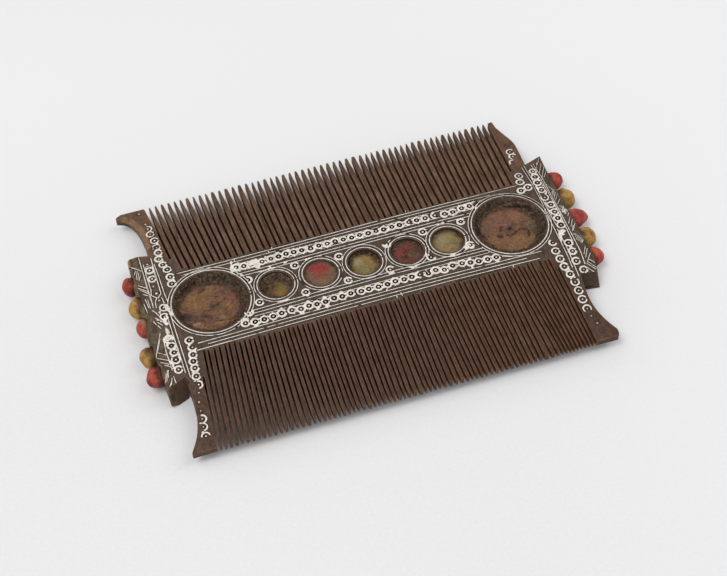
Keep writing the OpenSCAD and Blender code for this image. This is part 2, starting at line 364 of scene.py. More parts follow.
@dataclass(frozen=True)
class WoodFinish:
    """Dark close-grained hardwood, sawn and worn, with the grain along the teeth."""

    dark: Colour = srgb(56, 40, 31)
    mid: Colour = srgb(92, 71, 57)
    light: Colour = srgb(116, 93, 76)
    warm: Colour = srgb(104, 62, 48)
    # painted shade for the near teeth, which slope away from the light
    near_shade: Colour = srgb(58, 36, 22)
    spine: Colour = srgb(77, 66, 56)
    kerf: Colour = srgb(94, 54, 29)
    mottled: tuple[Colour, Colour, Colour] = (
        srgb(44, 34, 28), srgb(84, 69, 53), srgb(124, 104, 72))
    # recess walls: grime together with painted shade
    grime_and_shade: Colour = srgb(58, 44, 32)
    worn: Colour = srgb(128, 102, 84)
    paste: Colour = srgb(190, 178, 164)
    ruddy: Colour = srgb(114, 80, 60)
    rubbed: Colour = srgb(116, 97, 82)
    gold: Colour = srgb(150, 114, 74)
    spine_y: float = -1.25
    spine_half: float = 19.8
    ends_from: float = 69.2
    soft: float = 0.6
    contrast: float = 1.32

    def material(self) -> bpy.types.Material:
        """Builds the wood, from its grain out to its dirt.

        Returns:
            The finished material.
        """
        g = Graph("worn_wood")
        grain = g.cloud((1.0, 0.05, 1.0), detail=5.0, rough=0.62)
        patina = g.cloud((0.25, 0.2, 0.25), detail=4.0, shift=12.0)
        flat = self._flat(g)
        colour = self._aged(g, self._sawn(g, grain), patina, flat)
        colour = self._worn_arrises(g, self._cut_walls(g, colour))
        pores = g.step(g.cloud((3.2, 0.4, 3.2), shift=5.0, rough=0.6), 0.56, 0.70)
        fine = g.cloud((1.5, 0.55, 1.5), detail=5.0, shift=25.0, rough=0.72)
        light = 1.0 - self.contrast / 2 + self.contrast * fine
        colour = g.shade(colour, light * (1.0 - 0.3 * pores))
        dust = g.step(g.cloud((2.0, 2.0, 2.0), detail=4.0, shift=31.0, rough=0.7), 0.60, 0.74)
        colour = g.blend(colour, self.paste, dust * flat * 0.2)
        rough = 0.48 + 0.22 * grain + 0.1 * pores
        relief = [(grain, 0.06), (pores, -0.04), (fine, 0.08), (patina, 0.12)]
        return g.finish(colour, rough, relief, Specular_IOR_Level=0.2)

    def _flat(self, g: Graph) -> Link:
        """Finds the decorated flats.

        Args:
            g: the wood's graph.

        Returns:
            A mask, 1 on the spine, the end teeth and the end blocks and 0 on the other teeth.
        """
        off_spine = (g.axis("Y") - (self.spine_y - MID_Y)).size()
        spine = g.step(off_spine, self.spine_half + self.soft, self.spine_half - self.soft)
        ends = g.step(g.axis("X").size(), self.ends_from - self.soft, self.ends_from + self.soft)
        return spine.most(ends)

    def _sawn(self, g: Graph, grain: Link) -> Link:
        """Tones the bare wood by its grain, from tooth to tooth.

        Args:
            g: the wood's graph.
            grain: the grain's noise.

        Returns:
            The colour, darkened over the near teeth by painted shade.
        """
        colour = g.ramp(grain, (0.30, self.dark), (0.48, self.mid), (0.68, self.light))
        tooth = g.cloud((0.8, 0.004, 0.02), detail=2.0, shift=90.0)
        colour = g.blend(colour, self.dark, g.step(tooth, 0.5, 0.75) * 0.45)
        streak = g.step(g.cloud((0.35, 0.03, 0.3), shift=40.0), 0.52, 0.70)
        colour = g.blend(colour, self.warm, streak * 0.35)
        # Painted shade: the near teeth, which slope away from the light, are darkened.
        near_teeth = g.step(g.axis("Y"), -16.0, -24.0)
        return g.blend(colour, self.near_shade, near_teeth * 0.57)

    def _aged(self, g: Graph, colour: Link, patina: Link, flat: Link) -> Link:
        """Darkens the spine, and mottles the end teeth and the end blocks.

        Args:
            g: the wood's graph.
            colour: the colour so far.
            patina: the broad noise of the old surface.
            flat: the mask of the flats.

        Returns:
            The aged colour.
        """
        x, y = g.axis("X"), g.axis("Y")
        old = g.blend(self.spine, self.dark, g.step(patina, 0.48, 0.68) * 0.7)
        blush = g.step(g.cloud((0.2, 0.12, 0.2), detail=4.0, shift=71.0), 0.54, 0.68)
        old = g.blend(old, self.warm, blush * 0.3)
        past_spine = g.step(y.size(), 21.0, 36.0)
        colour = g.blend(colour, old, flat * (0.75 - 0.55 * past_spine))
        end_tooth = g.step(x.size(), 70.0, 72.0) * past_spine
        far = g.step(y, -10.0, 10.0)
        colour = g.blend(colour, self.ruddy, end_tooth * (0.2 + 0.3 * far))
        left_end = g.step(x, -74.5, -77.5)
        colour = g.blend(colour, self.rubbed, left_end * (0.34 - 0.2 * past_spine))
        patch = g.cloud((0.42, 0.3, 0.42), detail=4.0, shift=33.0, rough=0.65)
        stain = end_tooth * g.step(patch, 0.46, 0.6) * (0.42 - 0.2 * far)
        colour = g.blend(colour, self.mottled[0], stain)
        mottle = g.ramp(patch, (0.38, self.mottled[0]), (0.5, self.mottled[1]),
                        (0.64, self.mottled[2]))
        block_face = g.step(x.size(), 80.2, 83.0)
        return g.blend(colour, mottle, block_face * 0.6)

    def _cut_walls(self, g: Graph, colour: Link) -> Link:
        """Stains the walls of the kerfs, and darkens the recess walls with grime and painted shade.

        Args:
            g: the wood's graph.
            colour: the colour so far.

        Returns:
            The colour with its cut walls.
        """
        x, y = g.axis("X"), g.axis("Y")
        normal = g.node("ShaderNodeNewGeometry", output="True Normal")
        sideways, upwards = (g.axis(a, normal).size() for a in "XZ")
        in_kerf = g.step(sideways, 0.5, 0.9) * g.step(x.size(), 75.0, 73.0)
        colour = g.blend(colour, self.kerf, in_kerf * 0.85)
        # Grime and painted shade: faces in the recesses' band that don't face up are darkened.
        near_row = g.step(x.size(), 76.0, 75.0) * g.step((y + MID_Y).size(), 16.0, 15.0)
        return g.blend(colour, self.grime_and_shade, g.step(upwards, 0.6, 0.3) * near_row * 0.85)

    def _worn_arrises(self, g: Graph, colour: Link) -> Link:
        """Pales the rubbed arrises, and gilds the one that was held.

        Args:
            g: the wood's graph.
            colour: the colour so far.

        Returns:
            The colour with its wear.
        """
        wear = g.node("ShaderNodeAttribute", {"attribute_name": "wear"}, output="Fac")
        rub = g.step(g.cloud((0.5, 0.25, 0.5), shift=63.0), 0.35, 0.65)
        colour = g.blend(colour, self.worn, wear * (0.12 + 0.45 * rub))
        held = g.step(g.axis("Y"), 25.0, 30.0) * g.step(g.axis("X"), -72.0, -75.0)
        return g.blend(colour, self.gold, wear * held * (0.2 + 0.5 * rub))


@dataclass(frozen=True)
class CutFinish:
    """Darker wood in and beside the scribed marks."""

    tone: Colour = srgb(50, 39, 31)
    pale: Colour = srgb(74, 60, 50)

    def material(self) -> bpy.types.Material:
        """Builds the cut wood.

        Returns:
            The finished material.
        """
        g = Graph("cut_wood")
        fine = g.cloud((1.8, 1.2, 1.8), detail=4.0, shift=14.0, rough=0.7)
        colour = g.ramp(fine, (0.42, self.tone), (0.66, self.pale))
        return g.finish(colour, 0.62, [(fine, 0.05)], Specular_IOR_Level=0.2)


@dataclass(frozen=True)
class PasteFinish:
    """Chalky white filler, dirty and chipped at its edges."""

    light: Colour = srgb(236, 229, 219)
    dull: Colour = srgb(176, 163, 149)
    dirt: Colour = srgb(104, 86, 74)

    def material(self) -> bpy.types.Material:
        """Builds the filler.

        Returns:
            The finished material.
        """
        g = Graph("white_paste")
        age = g.cloud((0.7, 0.7, 0.7), shift=3.0)
        grit = g.cloud((3.6, 3.6, 3.6), shift=8.0, rough=0.7)
        colour = g.ramp(age * 0.45 + grit * 0.55, (0.36, self.dull), (0.54, self.light))
        colour = g.blend(colour, self.dirt, g.step(grit, 0.60, 0.74) * 0.55)
        return g.finish(colour, 0.82, [(grit, 0.05)], Specular_IOR_Level=0.25)


# A spot's x and y from the middle of its recess, its radius and its colour
Spot = tuple[float, float, float, Colour]


@dataclass(frozen=True)
class CrustFinish:
    """A crumbly or wax-like fill: three tones in patches, soft spots, a darker rim and grains."""

    name: str
    tones: tuple[Colour, Colour, Colour]
    rim: Colour
    rim_at: float
    centre: Point
    patch: float = 0.25
    rim_soft: float = 1.4
    rim_lean: Point = (0.0, 0.0)
    contrast: float = 1.3
    shine: float = 0.8
    grit: float = 0.15
    foot: float = 0.0
    veins: float = 0.0
    flecks: float = 0.3
    spot_soft: float = 0.5
    spots: tuple[Spot, ...] = ()
    rim_pit: Colour = srgb(26, 18, 13)
    rim_crumb: Colour = srgb(104, 84, 62)
    foot_line: Colour = srgb(32, 22, 16)
    vein_tone: Colour = srgb(62, 40, 30)
    fleck_pale: Colour = srgb(158, 132, 106)
    fleck_dark: Colour = srgb(44, 28, 20)

    def material(self) -> bpy.types.Material:
        """Builds the fill, from its broad patches out to its grains.

        Returns:
            The finished material.
        """
        g = Graph(self.name)
        broad = g.cloud((self.patch,) * 3, detail=4.0, shift=17.0, rough=0.6)
        middle = g.cloud((0.7, 0.7, 0.7), detail=4.0, shift=43.0, rough=0.6)
        fine = g.cloud((1.6, 1.6, 1.6), detail=5.0, shift=29.0, rough=0.7)
        colour = g.ramp(broad * 0.6 + middle * 0.4, (0.40, self.tones[1]), (0.5, self.tones[0]),
                        (0.60, self.tones[2]))
        colour = self._spotted(g, colour, middle, fine)
        colour = self._rimmed(g, colour, broad, middle, fine)
        if self.veins:
            vein = g.cloud((0.16, 0.22, 0.2), shift=57.0, rough=0.6) - 0.5
            share = g.step(vein.size(), 0.014, 0.0) * self.veins
            colour = g.blend(colour, self.vein_tone, share)
        colour = g.blend(colour, self.fleck_pale, g.step(fine, 0.59, 0.70) * self.flecks)
        colour = g.blend(colour, self.fleck_dark, g.step(fine, 0.41, 0.31) * self.flecks)
        tint = g.node("ShaderNodeAttribute", {"attribute_name": "tint"}, output="Fac")
        light = 1.0 - self.contrast / 2 + self.contrast * fine
        colour = g.shade(colour, light * (1.0 + tint))
        relief = [(fine, self.grit), (middle, self.grit * 2)]
        return g.finish(colour, self.shine - 0.2 * broad, relief, Specular_IOR_Level=0.2)

    def _spotted(self, g: Graph, colour: Link, middle: Link, fine: Link) -> Link:
        """Lays the soft spots.

        Args:
            g: the fill's graph.
            colour: the colour so far.
            middle: noise that bends a spot's outline.
            fine: noise that frays it.

        Returns:
            The colour with its spots.
        """
        x, y = self.centre
        for dx, dy, radius, spot in self.spots:
            away = g.distance(x + dx, y + dy) + (middle - 0.5) * radius * 1.6 \
                + (fine - 0.5) * min(radius, 1.0)
            share = g.step(away, radius * (1 + self.spot_soft), radius * (1 - self.spot_soft))
            colour = g.blend(colour, spot, share * 0.9)
        return colour

    def _rimmed(self, g: Graph, colour: Link, broad: Link, middle: Link, fine: Link) -> Link:
        """Lays the darker rim, and the dark line at its foot.

        Args:
            g: the fill's graph.
            colour: the colour so far.
            broad: noise that moves the rim in and out.
            middle: noise that bends it.
            fine: noise that frays it.

        Returns:
            The colour with its rim.
        """
        x, y = self.centre
        edge = g.distance(x + self.rim_lean[0], y + self.rim_lean[1]) + (broad - 0.5) * 5.0 \
            + (middle - 0.5) * 3.0 + (fine - 0.5) * 2.0
        # The rim is darker; in the large recesses its tone is dirty putty and painted shade.
        old = g.ramp(middle * 0.6 + fine * 0.4, (0.37, self.rim_pit), (0.5, self.rim),
                     (0.64, self.rim_crumb))
        colour = g.blend(colour, old, g.step(edge, self.rim_at - self.rim_soft,
                                             self.rim_at + self.rim_soft))
        if self.foot:
            line = g.step((edge - self.rim_at).size(), 0.9, 0.1) * g.step(middle, 0.4, 0.55)
            colour = g.blend(colour, self.foot_line, line * self.foot)
        return colour


@dataclass(frozen=True)
class BeadFinish:
    """A hand-shaped bead, mottled and dull, with a darker foot of painted shade and dirt."""

    name: str
    tone: Colour
    pale: Colour
    deep: Colour
    split: Optional[Colour] = None
    foot_at: float = 86.2
    foot_shade_and_dirt: Colour = srgb(60, 36, 24)
    pits: Colour = srgb(46, 28, 20)

    def material(self) -> bpy.types.Material:
        """Builds the bead's finish.

        Returns:
            The finished material.
        """
        g = Graph(self.name)
        mottle = g.cloud((0.22, 0.22, 0.22), detail=4.0, shift=51.0)
        fine = g.cloud((1.4, 1.4, 1.4), detail=4.0, shift=77.0, rough=0.65)
        colour = g.ramp(mottle * 0.7 + fine * 0.3, (0.36, self.deep), (0.5, self.tone),
                        (0.66, self.pale))
        if self.split:
            lean = g.axis("X") + g.axis("Y") * 0.35 + (mottle - 0.5) * 4.0
            colour = g.blend(colour, self.split, g.step(lean, -87.3, -86.3))
        # Painted shade and dirt at the foot, where the block shades the bead; the left beads get a
        # wider band.
        out = g.axis("X").size() + (fine - 0.5) * 2.0 + (mottle - 0.5) * 3.0
        left = g.step(g.axis("X"), 10.0, -10.0)
        foot = g.step(out + 1.3 - 2.9 * left, self.foot_at + 1.0, self.foot_at - 1.0)
        colour = g.blend(colour, self.foot_shade_and_dirt, foot * 0.8)
        colour = g.blend(colour, self.pits, g.step(fine, 0.60, 0.72) * 0.55)
        clouded = g.cloud((0.6, 0.6, 0.6), detail=4.0, shift=19.0, rough=0.6)
        colour = g.shade(colour, 0.46 + 1.06 * clouded)
        return g.finish(colour, 0.42 + 0.25 * mottle, [(fine, 0.07), (mottle, 0.15)],
                        Specular_IOR_Level=0.3)


class Tone(Enum):
    """The finishes a bead comes in."""

    RED = BeadFinish("bead_red_clay", srgb(160, 62, 46), srgb(184, 98, 70), srgb(96, 32, 25))
    DULL_RED = BeadFinish("bead_rose_clay", srgb(152, 56, 48), srgb(176, 92, 72), srgb(92, 30, 27))
    YELLOW = BeadFinish("bead_ochre_clay", srgb(166, 124, 58), srgb(184, 148, 84), srgb(94, 66, 32))
    # Its larger foot_at paints more shade at its foot, where the block shades it.
    YELLOW_SHADED_FOOT = BeadFinish("bead_ochre_shaded_foot", srgb(160, 122, 60), srgb(178, 144, 84),
                             srgb(92, 66, 34), foot_at=86.9)
    TWO_TONE = BeadFinish("bead_red_and_tan", srgb(152, 58, 50), srgb(174, 90, 70),
                          srgb(98, 36, 31), srgb(134, 108, 70), foot_at=84.8)


# Mesh helpers


def finish_piece(bm: bmesh.types.BMesh, name: str, slot: str, material: bpy.types.Material,
                 replaced: Sequence[str] = (), smooth_below: float = 40.0) -> bpy.types.Object:
    """Turns a bmesh into a piece that rides on the comb.

    Args:
        bm: the closed mesh, in metres in the comb's frame. It is freed.
        name: the piece's name.
        slot: a material slot's name; not used.
        material: the finish.
        replaced: CAD nodes that the piece stands for.
        smooth_below: edges that turn by fewer degrees than this are shaded smooth.

    Returns:
        The piece.
    """
    mesh = bpy.data.meshes.new(name)
    bm.to_mesh(mesh)
    bm.free()
    mesh.materials.append(material)
    if smooth_below:
        mesh.shade_smooth()
        mesh.set_sharp_from_angle(angle=math.radians(smooth_below))
    piece = bpy.data.objects.new(name, mesh)
    bpy.context.scene.collection.objects.link(piece)
    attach(piece, "root")
    if replaced:
        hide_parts(*replaced)
    log.info("%s: %d faces", name, len(mesh.polygons))
    return piece


def close_below(bm: bmesh.types.BMesh, depth: float) -> None:
    """Gives an open sheet of faces a thickness downwards and turns its faces out.

    Args:
        bm: the sheet.
        depth: its thickness in metres.
    """
    made = bmesh.ops.extrude_face_region(bm, geom=list(bm.faces), use_keep_orig=True)
    lower = [v for v in made["geom"] if isinstance(v, bmesh.types.BMVert)]
    bmesh.ops.translate(bm, verts=lower, vec=(0, 0, -depth))
    bmesh.ops.recalc_face_normals(bm, faces=list(bm.faces))


# Wood


@dataclass
class CombBody:
    """The carved body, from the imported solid, with its arrises worn.

    Places are in millimetres, and angles are the turn between two faces in degrees. Edges
    inside the crisp boxes, each given as x from and to and y from and to, aren't worn.
    """

    wear: float = 0.26
    sharp_from: float = 28.0
    thickness: float = 12.0
    crisp: tuple[tuple[float, float, float, float], ...] = ((-87.0, -83.2, 28.5, 33.0),)
    guard_bevel: float = 1.5
    guard_x: float = -76.9
    guard_y: Point = (31.0, 54.6)
    guard_z: float = 6.1
    guard_angle: float = 46.0
    across: float = 0.05
    same_place: float = 0.002
    flat_angle: float = 0.6
    slope_wear: float = 0.9

    def _guard_edges(self, bm: bmesh.types.BMesh) -> list[bmesh.types.BMEdge]:
        """Finds the upper outer arris of the far left end tooth, which is bevelled broadly.

        Args:
            bm: the body.

        Returns:
            The arris's edges, without those that run across the tooth.
        """
        found = []
        low, high = self.guard_y
        for edge in bm.edges:
            ends = [(v.co.x / MM + MID_X, v.co.y / MM + MID_Y, v.co.z / MM) for v in edge.verts]
            if all(x < self.guard_x and low < y < high and z > self.guard_z for x, y, z in ends) \
                    and abs(ends[0][1] - ends[1][1]) > self.across and edge.is_manifold \
                    and edge.calc_face_angle() > math.radians(self.guard_angle):
                found.append(edge)
        return found

    def _kept(self, edge: bmesh.types.BMEdge) -> bool:
        """Tells whether an edge lies at a corner that stays crisp.

        Args:
            edge: the edge.

        Returns:
            Whether its middle is in one of the crisp boxes.
        """
        mid = (edge.verts[0].co + edge.verts[1].co) / 2 / MM
        return any(x0 < mid.x + MID_X < x1 and y0 < mid.y + MID_Y < y1
                   for x0, x1, y0, y1 in self.crisp)

    def build(self, finish: WoodFinish) -> BVHTree:
        """Copies the node, wears its arrises and dresses it.

        Args:
            finish: the wood.

        Returns:
            The body's surface, for the marks to lie on.
        """
        bm = bmesh.new()
        bm.from_mesh(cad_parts["comb_body"].data)
        bmesh.ops.remove_doubles(bm, verts=bm.verts, dist=self.same_place * MM)
        bmesh.ops.dissolve_limit(bm, angle_limit=math.radians(self.flat_angle), verts=bm.verts,
                                 edges=bm.edges, delimit={"NORMAL"})
        broad = self._guard_edges(bm)
        log.info("broad bevel on %d edges", len(broad))
        layer = bm.loops.layers.float.new("wear")
        slope = bmesh.ops.bevel(bm, geom=broad, offset=self.guard_bevel * MM,
                                offset_type="OFFSET", segments=1, profile=0.5, affect="EDGES",
                                clamp_overlap=False, material=-1)["faces"]
        for loop in (loop for face in slope for loop in face.loops):
            loop[layer] = self.slope_wear
        sharp = [e for e in bm.edges if e.is_manifold and not self._kept(e)
                 and e.calc_face_angle() > math.radians(self.sharp_from)]
        worn = bmesh.ops.bevel(bm, geom=sharp, offset=self.wear * MM, offset_type="OFFSET",
                               segments=3, profile=0.5, affect="EDGES", clamp_overlap=False,
                               material=-1)
        for loop in (loop for face in worn["faces"] for loop in face.loops):
            loop[layer] = 1.0
        for vert in bm.verts:
            vert.co.z = min(max(vert.co.z, 0.0), self.thickness * MM)
        surface = BVHTree.FromBMesh(bm)
        finish_piece(bm, "worn_comb_body", "wood", finish.material(), ["comb_body"], 0.0)
        return surface


# Marks and lines


class Arc(Enum):
    """How much of a ring's filler is left, as its first and last angle in degrees.

    A NONE keeps its dot alone, a SCRAP its piece of ring alone, and an EMPTY neither.
    """

    FULL = (0, 360)
    RIGHT = (-95, 95)
    LEFT = (85, 275)
    TOP = (0, 180)
    BOTTOM = (170, 370)
    MOST_TOP = (-40, 220)
    MOST_BOTTOM = (140, 400)
    CUP = (100, 330)
    HOOK = (20, 235)
    MOST_LEFT = (10, 285)
    GAP_RIGHT = (35, 325)
    SCRAP = (70, 205)
    EMPTY = (1, 0)
    NONE = (0, 0)


Mark = tuple[float, float, Arc]


@dataclass
class PasteWork:
    """All the white filler: rings, dots, scribed lines, hatching and smears.

    A strip is laid in steps along its length. Its width wanders by the shares in uneven and
    its edges by fray, and its edges lie lower than its middle by the share crown. What has
    fallen out of it goes in lengths of about gap_size, where noise is under fall_at, which
    rises by fall_by with the share lost. It thins within fall_soft of there, and is gone past
    fall_gone. Where thin_x and thin_y are both passed, the scribed lines are narrower by the
    share far_right. A pair whose name ends in play holds the least and the most of a share
    drawn for each mark. A smear stays where its cover is over smear_edge.
    """

    face: TopFace
    ring_r: float = 1.46
    ring_w: float = 0.8
    dot_r: float = 0.38
    dot_sides: int = 8
    step: float = 0.42
    lift: float = 0.035
    depth: float = 0.14
    place_play: float = 0.06
    radius_play: Point = (0.94, 1.05)
    width_play: Point = (0.85, 1.12)
    dot_play: Point = (0.7, 1.1)
    height_play: float = 0.02
    uneven: Layers = ((0.22, 0, 0.8), (0.15, 0, 3.0))
    fray: float = 0.15
    crown: float = 0.75
    tip: float = 0.03
    gap_size: float = 2.2
    fall_at: float = -0.75
    fall_by: float = 1.15
    fall_soft: Point = (-0.12, 0.2)
    fall_gone: float = -0.06
    far_right: float = 0.34
    thin_x: Point = (42.0, 56.0)
    thin_y: Point = (1.0, 8.0)
    line_under: float = 0.4
    join_share: float = 0.7
    join_near: Point = (0.1, 0.4)
    join_far: Point = (1.0, 1.45)
    join_width: Point = (0.5, 0.95)
    smear_cell: float = 0.22
    smear_round: float = 3.4
    smear_ragged: Layers = ((0.9, 0, 0.7), (0.5, 0, 2.0))
    smear_lost: float = 1.6
    smear_edge: float = 0.1
    cut_edge: float = 0.42
    cut_fray: float = 0.35
    cut_step: float = 1.3
    cut_lift: float = 0.012
    cut_depth: float = 0.1
    cut_cells: int = 6
    disc_share: float = 0.8
    empty_share: float = 0.3
    bare_turn: float = 7.8
    bare_r: float = 1.15
    bare_cut: float = -0.5
    empty_cut: float = -0.36
    same_place: float = 0.002
    dice: random.Random = field(default_factory=lambda: random.Random(7))

    def __post_init__(self) -> None:
        """Starts the two meshes, the filler and the cut wood below it."""
        self.bm, self.cuts = bmesh.new(), bmesh.new()

    def _stand(self, path: Path, t: float) -> tuple[float, float, float, float]:
        """Finds a place on a path and the way across it.

        Args:
            path: the middle line on the plan, from 0 to 1.
            t: how far along it the place is.

        Returns:
            The place's x and y, and the x and y of the unit vector to its left.
        """
        x, y = path(t)
        ahead, behind = path(min(t + 0.01, 1.0)), path(max(t - 0.01, 0.0))
        dx, dy = ahead[0] - behind[0], ahead[1] - behind[1]
        size = math.hypot(dx, dy) or 1.0
        return x, y, -dy / size, dx / size

    def cut(self, path: Path, length: float, width: float, closed: bool) -> None:
        """Lays the dark cut that a strip of filler lies in.

        Args:
            path: the middle line on the plan, from 0 to 1.
            length: its length in millimetres.
            width: the filler's width, which the cut passes by cut_edge on each side.
            closed: whether it runs round into itself.
        """
        n = max(2, round(length / self.cut_step))
        made = bmesh.ops.create_grid(self.cuts, x_segments=n, y_segments=1, size=0.5)["verts"]
        for vert in made:
            off = vert.co.y * 2
            x, y, nx, ny = self._stand(path, vert.co.x + 0.5)
            ragged = self.cut_edge * (1 + self.cut_fray * wander(x, y, off + 3, 1.1))
            edge = (width / 2 + ragged) * off
            vert.co = self.face.place(x + nx * edge, y + ny * edge, self.cut_lift)
        if closed:
            bmesh.ops.remove_doubles(self.cuts, verts=made, dist=self.same_place * MM)

    def strip(self, path: Path, length: float, width: float, loss: float = 0.0,
              closed: bool = False, taper: bool = False) -> None:
        """Lays one strip of filler on the face.

        Args:
            path: the middle line on the plan, from 0 to 1.
            length: its length in millimetres.
            width: its width.
            loss: share of the filler that has fallen out.
            closed: whether it runs round into itself.
            taper: whether it comes to nothing at both ends, with no cut of its own.
        """
        if not taper:
            self.cut(path, length, width, closed)
        n = max(3, round(length / self.step))
        seed = self.dice.uniform(0, 90)
        raise_by = self.dice.uniform(0, self.height_play)
        made = bmesh.ops.create_grid(self.bm, x_segments=n, y_segments=2, size=0.5)["verts"]
        limit = self.fall_at + self.fall_by * loss
        low, high, gone = (limit + soft for soft in (*self.fall_soft, self.fall_gone))
        for vert in made:
            t, off = vert.co.x + 0.5, vert.co.y * 2
            x, y, nx, ny = self._stand(path, t)
            w = width * (1 + layered(x, y, seed, self.uneven))
            if width < self.line_under:
                w *= 1 - self.far_right * smooth(x, *self.thin_x) * smooth(y, *self.thin_y)
            if loss > 0:
                w *= smooth(wander(x, y, seed, self.gap_size), low, high)
            if taper:
                w *= math.sqrt(max(1 - (2 * t - 1) ** 2, 0.0)) * (1 - self.tip) + self.tip
            edge = w / 2 * off * (1 + self.fray * wander(x + off, y, seed, 0.5))
            up = self.lift * (1 - self.crown * off * off) + raise_by
            vert.co = self.face.place(x + nx * edge, y + ny * edge, up)
        if closed:
            bmesh.ops.remove_doubles(self.bm, verts=made, dist=self.same_place * MM)
        if loss > 0:
            faces = {f for v in made if v.is_valid for f in v.link_faces}
            mids = {f: f.calc_center_median() / MM for f in faces}
            lost = [f for f, mid in mids.items()
                    if wander(mid.x + MID_X, mid.y + MID_Y, seed, self.gap_size) < gone]
            bmesh.ops.delete(self.bm, geom=lost, context="FACES")

    def ring(self, x: float, y: float, arc: Arc = Arc.FULL, r: float = 0.0, w: float = 0.0,
             loss: float = 0.0) -> None:
        """Lays a ring, or the part of it that is left.

        Args:
            x: its middle, along the spine.
            y: its middle, towards the coarse teeth.
            arc: the part that is left.
            r: its radius, or 0 for a mark's ring.
            w: its width, or 0 for a mark's ring.
            loss: share of the filler that has fallen out.
        """
        r, w = r or self.ring_r * self.dice.uniform(*self.radius_play), w or self.ring_w
        a0, a1 = (math.radians(a) for a in arc.value)
        if a1 > a0:
            self.strip(lambda t: (x + r * math.cos(a0 + (a1 - a0) * t),
                                  y + r * math.sin(a0 + (a1 - a0) * t)),
                       r * (a1 - a0), w, loss, closed=arc is Arc.FULL)

    def dot(self, x: float, y: float, r: float) -> None:
        """Lays a small round dot.

        Args:
            x: its middle, along the spine.
            y: its middle, towards the coarse teeth.
            r: its radius.
        """
        made = bmesh.ops.create_circle(self.bm, cap_ends=True, segments=self.dot_sides,
                                       radius=r)["verts"]
        for vert in made:
            vert.co = self.face.place(x + vert.co.x, y + vert.co.y, self.lift)

    def disc(self, x: float, y: float, r: float) -> None:
        """Lays a round patch of cut wood, as a square grid drawn in to a disc.

        Args:
            x: its middle, along the spine.
            y: its middle, towards the coarse teeth.
            r: its radius.
        """
        made = bmesh.ops.create_grid(self.cuts, x_segments=self.cut_cells,
                                     y_segments=self.cut_cells, size=1.0)["verts"]
        for vert in made:
            u, v = vert.co.x, vert.co.y
            vert.co = self.face.place(x + r * u * math.sqrt(1 - v * v / 2),
                                      y + r * v * math.sqrt(1 - u * u / 2), self.cut_lift)

    def mark(self, x: float, y: float, arc: Arc = Arc.FULL, broad: float = 1.0) -> None:
        """Lays a ring-and-dot mark with the play of a hand-held bit.

        Args:
            x: its middle, along the spine.
            y: its middle, towards the coarse teeth.
            arc: the part of its ring that is still filled.
            broad: how broad its filler is, against that on the spine.
        """
        x, y = (at + self.dice.uniform(-self.place_play, self.place_play) for at in (x, y))
        if arc in (Arc.NONE, Arc.EMPTY):
            turn = (lambda t: (x + self.bare_r * math.cos(math.tau * t),
                               y + self.bare_r * math.sin(math.tau * t)))
            narrow = self.bare_cut if arc is Arc.NONE else self.empty_cut
            self.cut(turn, self.bare_turn, narrow, True)
        if arc not in (Arc.NONE, Arc.SCRAP):
            share = self.empty_share if arc is Arc.EMPTY else self.disc_share
            self.disc(x, y, self.ring_r * share * broad)
        self.ring(x, y, arc, w=self.ring_w * broad * self.dice.uniform(*self.width_play))
        if arc not in (Arc.SCRAP, Arc.EMPTY):
            near = broad if y < 0 else 1.0
            self.dot(x, y, self.dot_r * self.dice.uniform(*self.dot_play) * near)

    def line(self, points: Sequence[Point], width: float = 0.3, loss: float = 0.1,
             taper: bool = False) -> None:
        """Lays a line through points on the plan.

        Args:
            points: where it bends, and its two ends.
            width: its width.
            loss: share of the filler that has fallen out.
            taper: whether it comes to nothing at both ends.
        """
        ends = [0.0]
        for a, b in zip(points, points[1:]):
            ends.append(ends[-1] + math.dist(a, b))

        def path(t: float) -> Point:
            """Follows the line.

            Args:
                t: share of its length, from 0 to 1.

            Returns:
                The place there.
            """
            at = t * ends[-1]
            k = max(i for i in range(len(points) - 1) if ends[i] <= at + 1e-9)
            s = min((at - ends[k]) / (ends[k + 1] - ends[k]), 1.0)
            (x0, y0), (x1, y1) = points[k], points[k + 1]
            return x0 + (x1 - x0) * s, y0 + (y1 - y0) * s

        self.strip(path, ends[-1], width, loss, taper=taper)

    def smear(self, x: float, y: float, length: float, width: float, angle: float = 0.0,
              loss: float = 0.12) -> None:
        """Lays a thin ragged patch of filler, with holes, over the wood.

        Args:
            x: its middle, along the spine.
            y: its middle, towards the coarse teeth.
            length: its length in millimetres.
            width: its width.
            angle: how far its length turns from the spine, in degrees.
            loss: share of the filler that has fallen out.
        """
        n, m = (max(3, round(s / self.smear_cell)) for s in (length, width))
        seed = self.dice.uniform(0, 90)
        made = bmesh.ops.create_grid(self.bm, x_segments=n, y_segments=m, size=0.5)["verts"]
        c, s = math.cos(math.radians(angle)), math.sin(math.radians(angle))
        cover: dict[bmesh.types.BMVert, float] = {}
        for vert in made:
            u, v = vert.co.x, vert.co.y
            px, py = x + c * u * length - s * v * width, y + s * u * length + c * v * width
            cover[vert] = 1 - self.smear_round * (u * u + v * v) \
                + layered(px, py, seed, self.smear_ragged) - self.smear_lost * loss
            vert.co = self.face.place(px, py, self.lift * (0.3 + 0.5 * smooth(cover[vert])))
        faces = {f for v in made for f in v.link_faces}
        gone = [f for f in faces if sum(cover[v] for v in f.verts) < 4 * self.smear_edge]
        bmesh.ops.delete(self.bm, geom=gone, context="FACES")
        edge = [v for v in made if v.is_valid and any(e.is_boundary for e in v.link_edges)]
        bmesh.ops.smooth_vert(self.bm, verts=edge, factor=0.5, use_axis_x=True, use_axis_y=True,
                              use_axis_z=True)

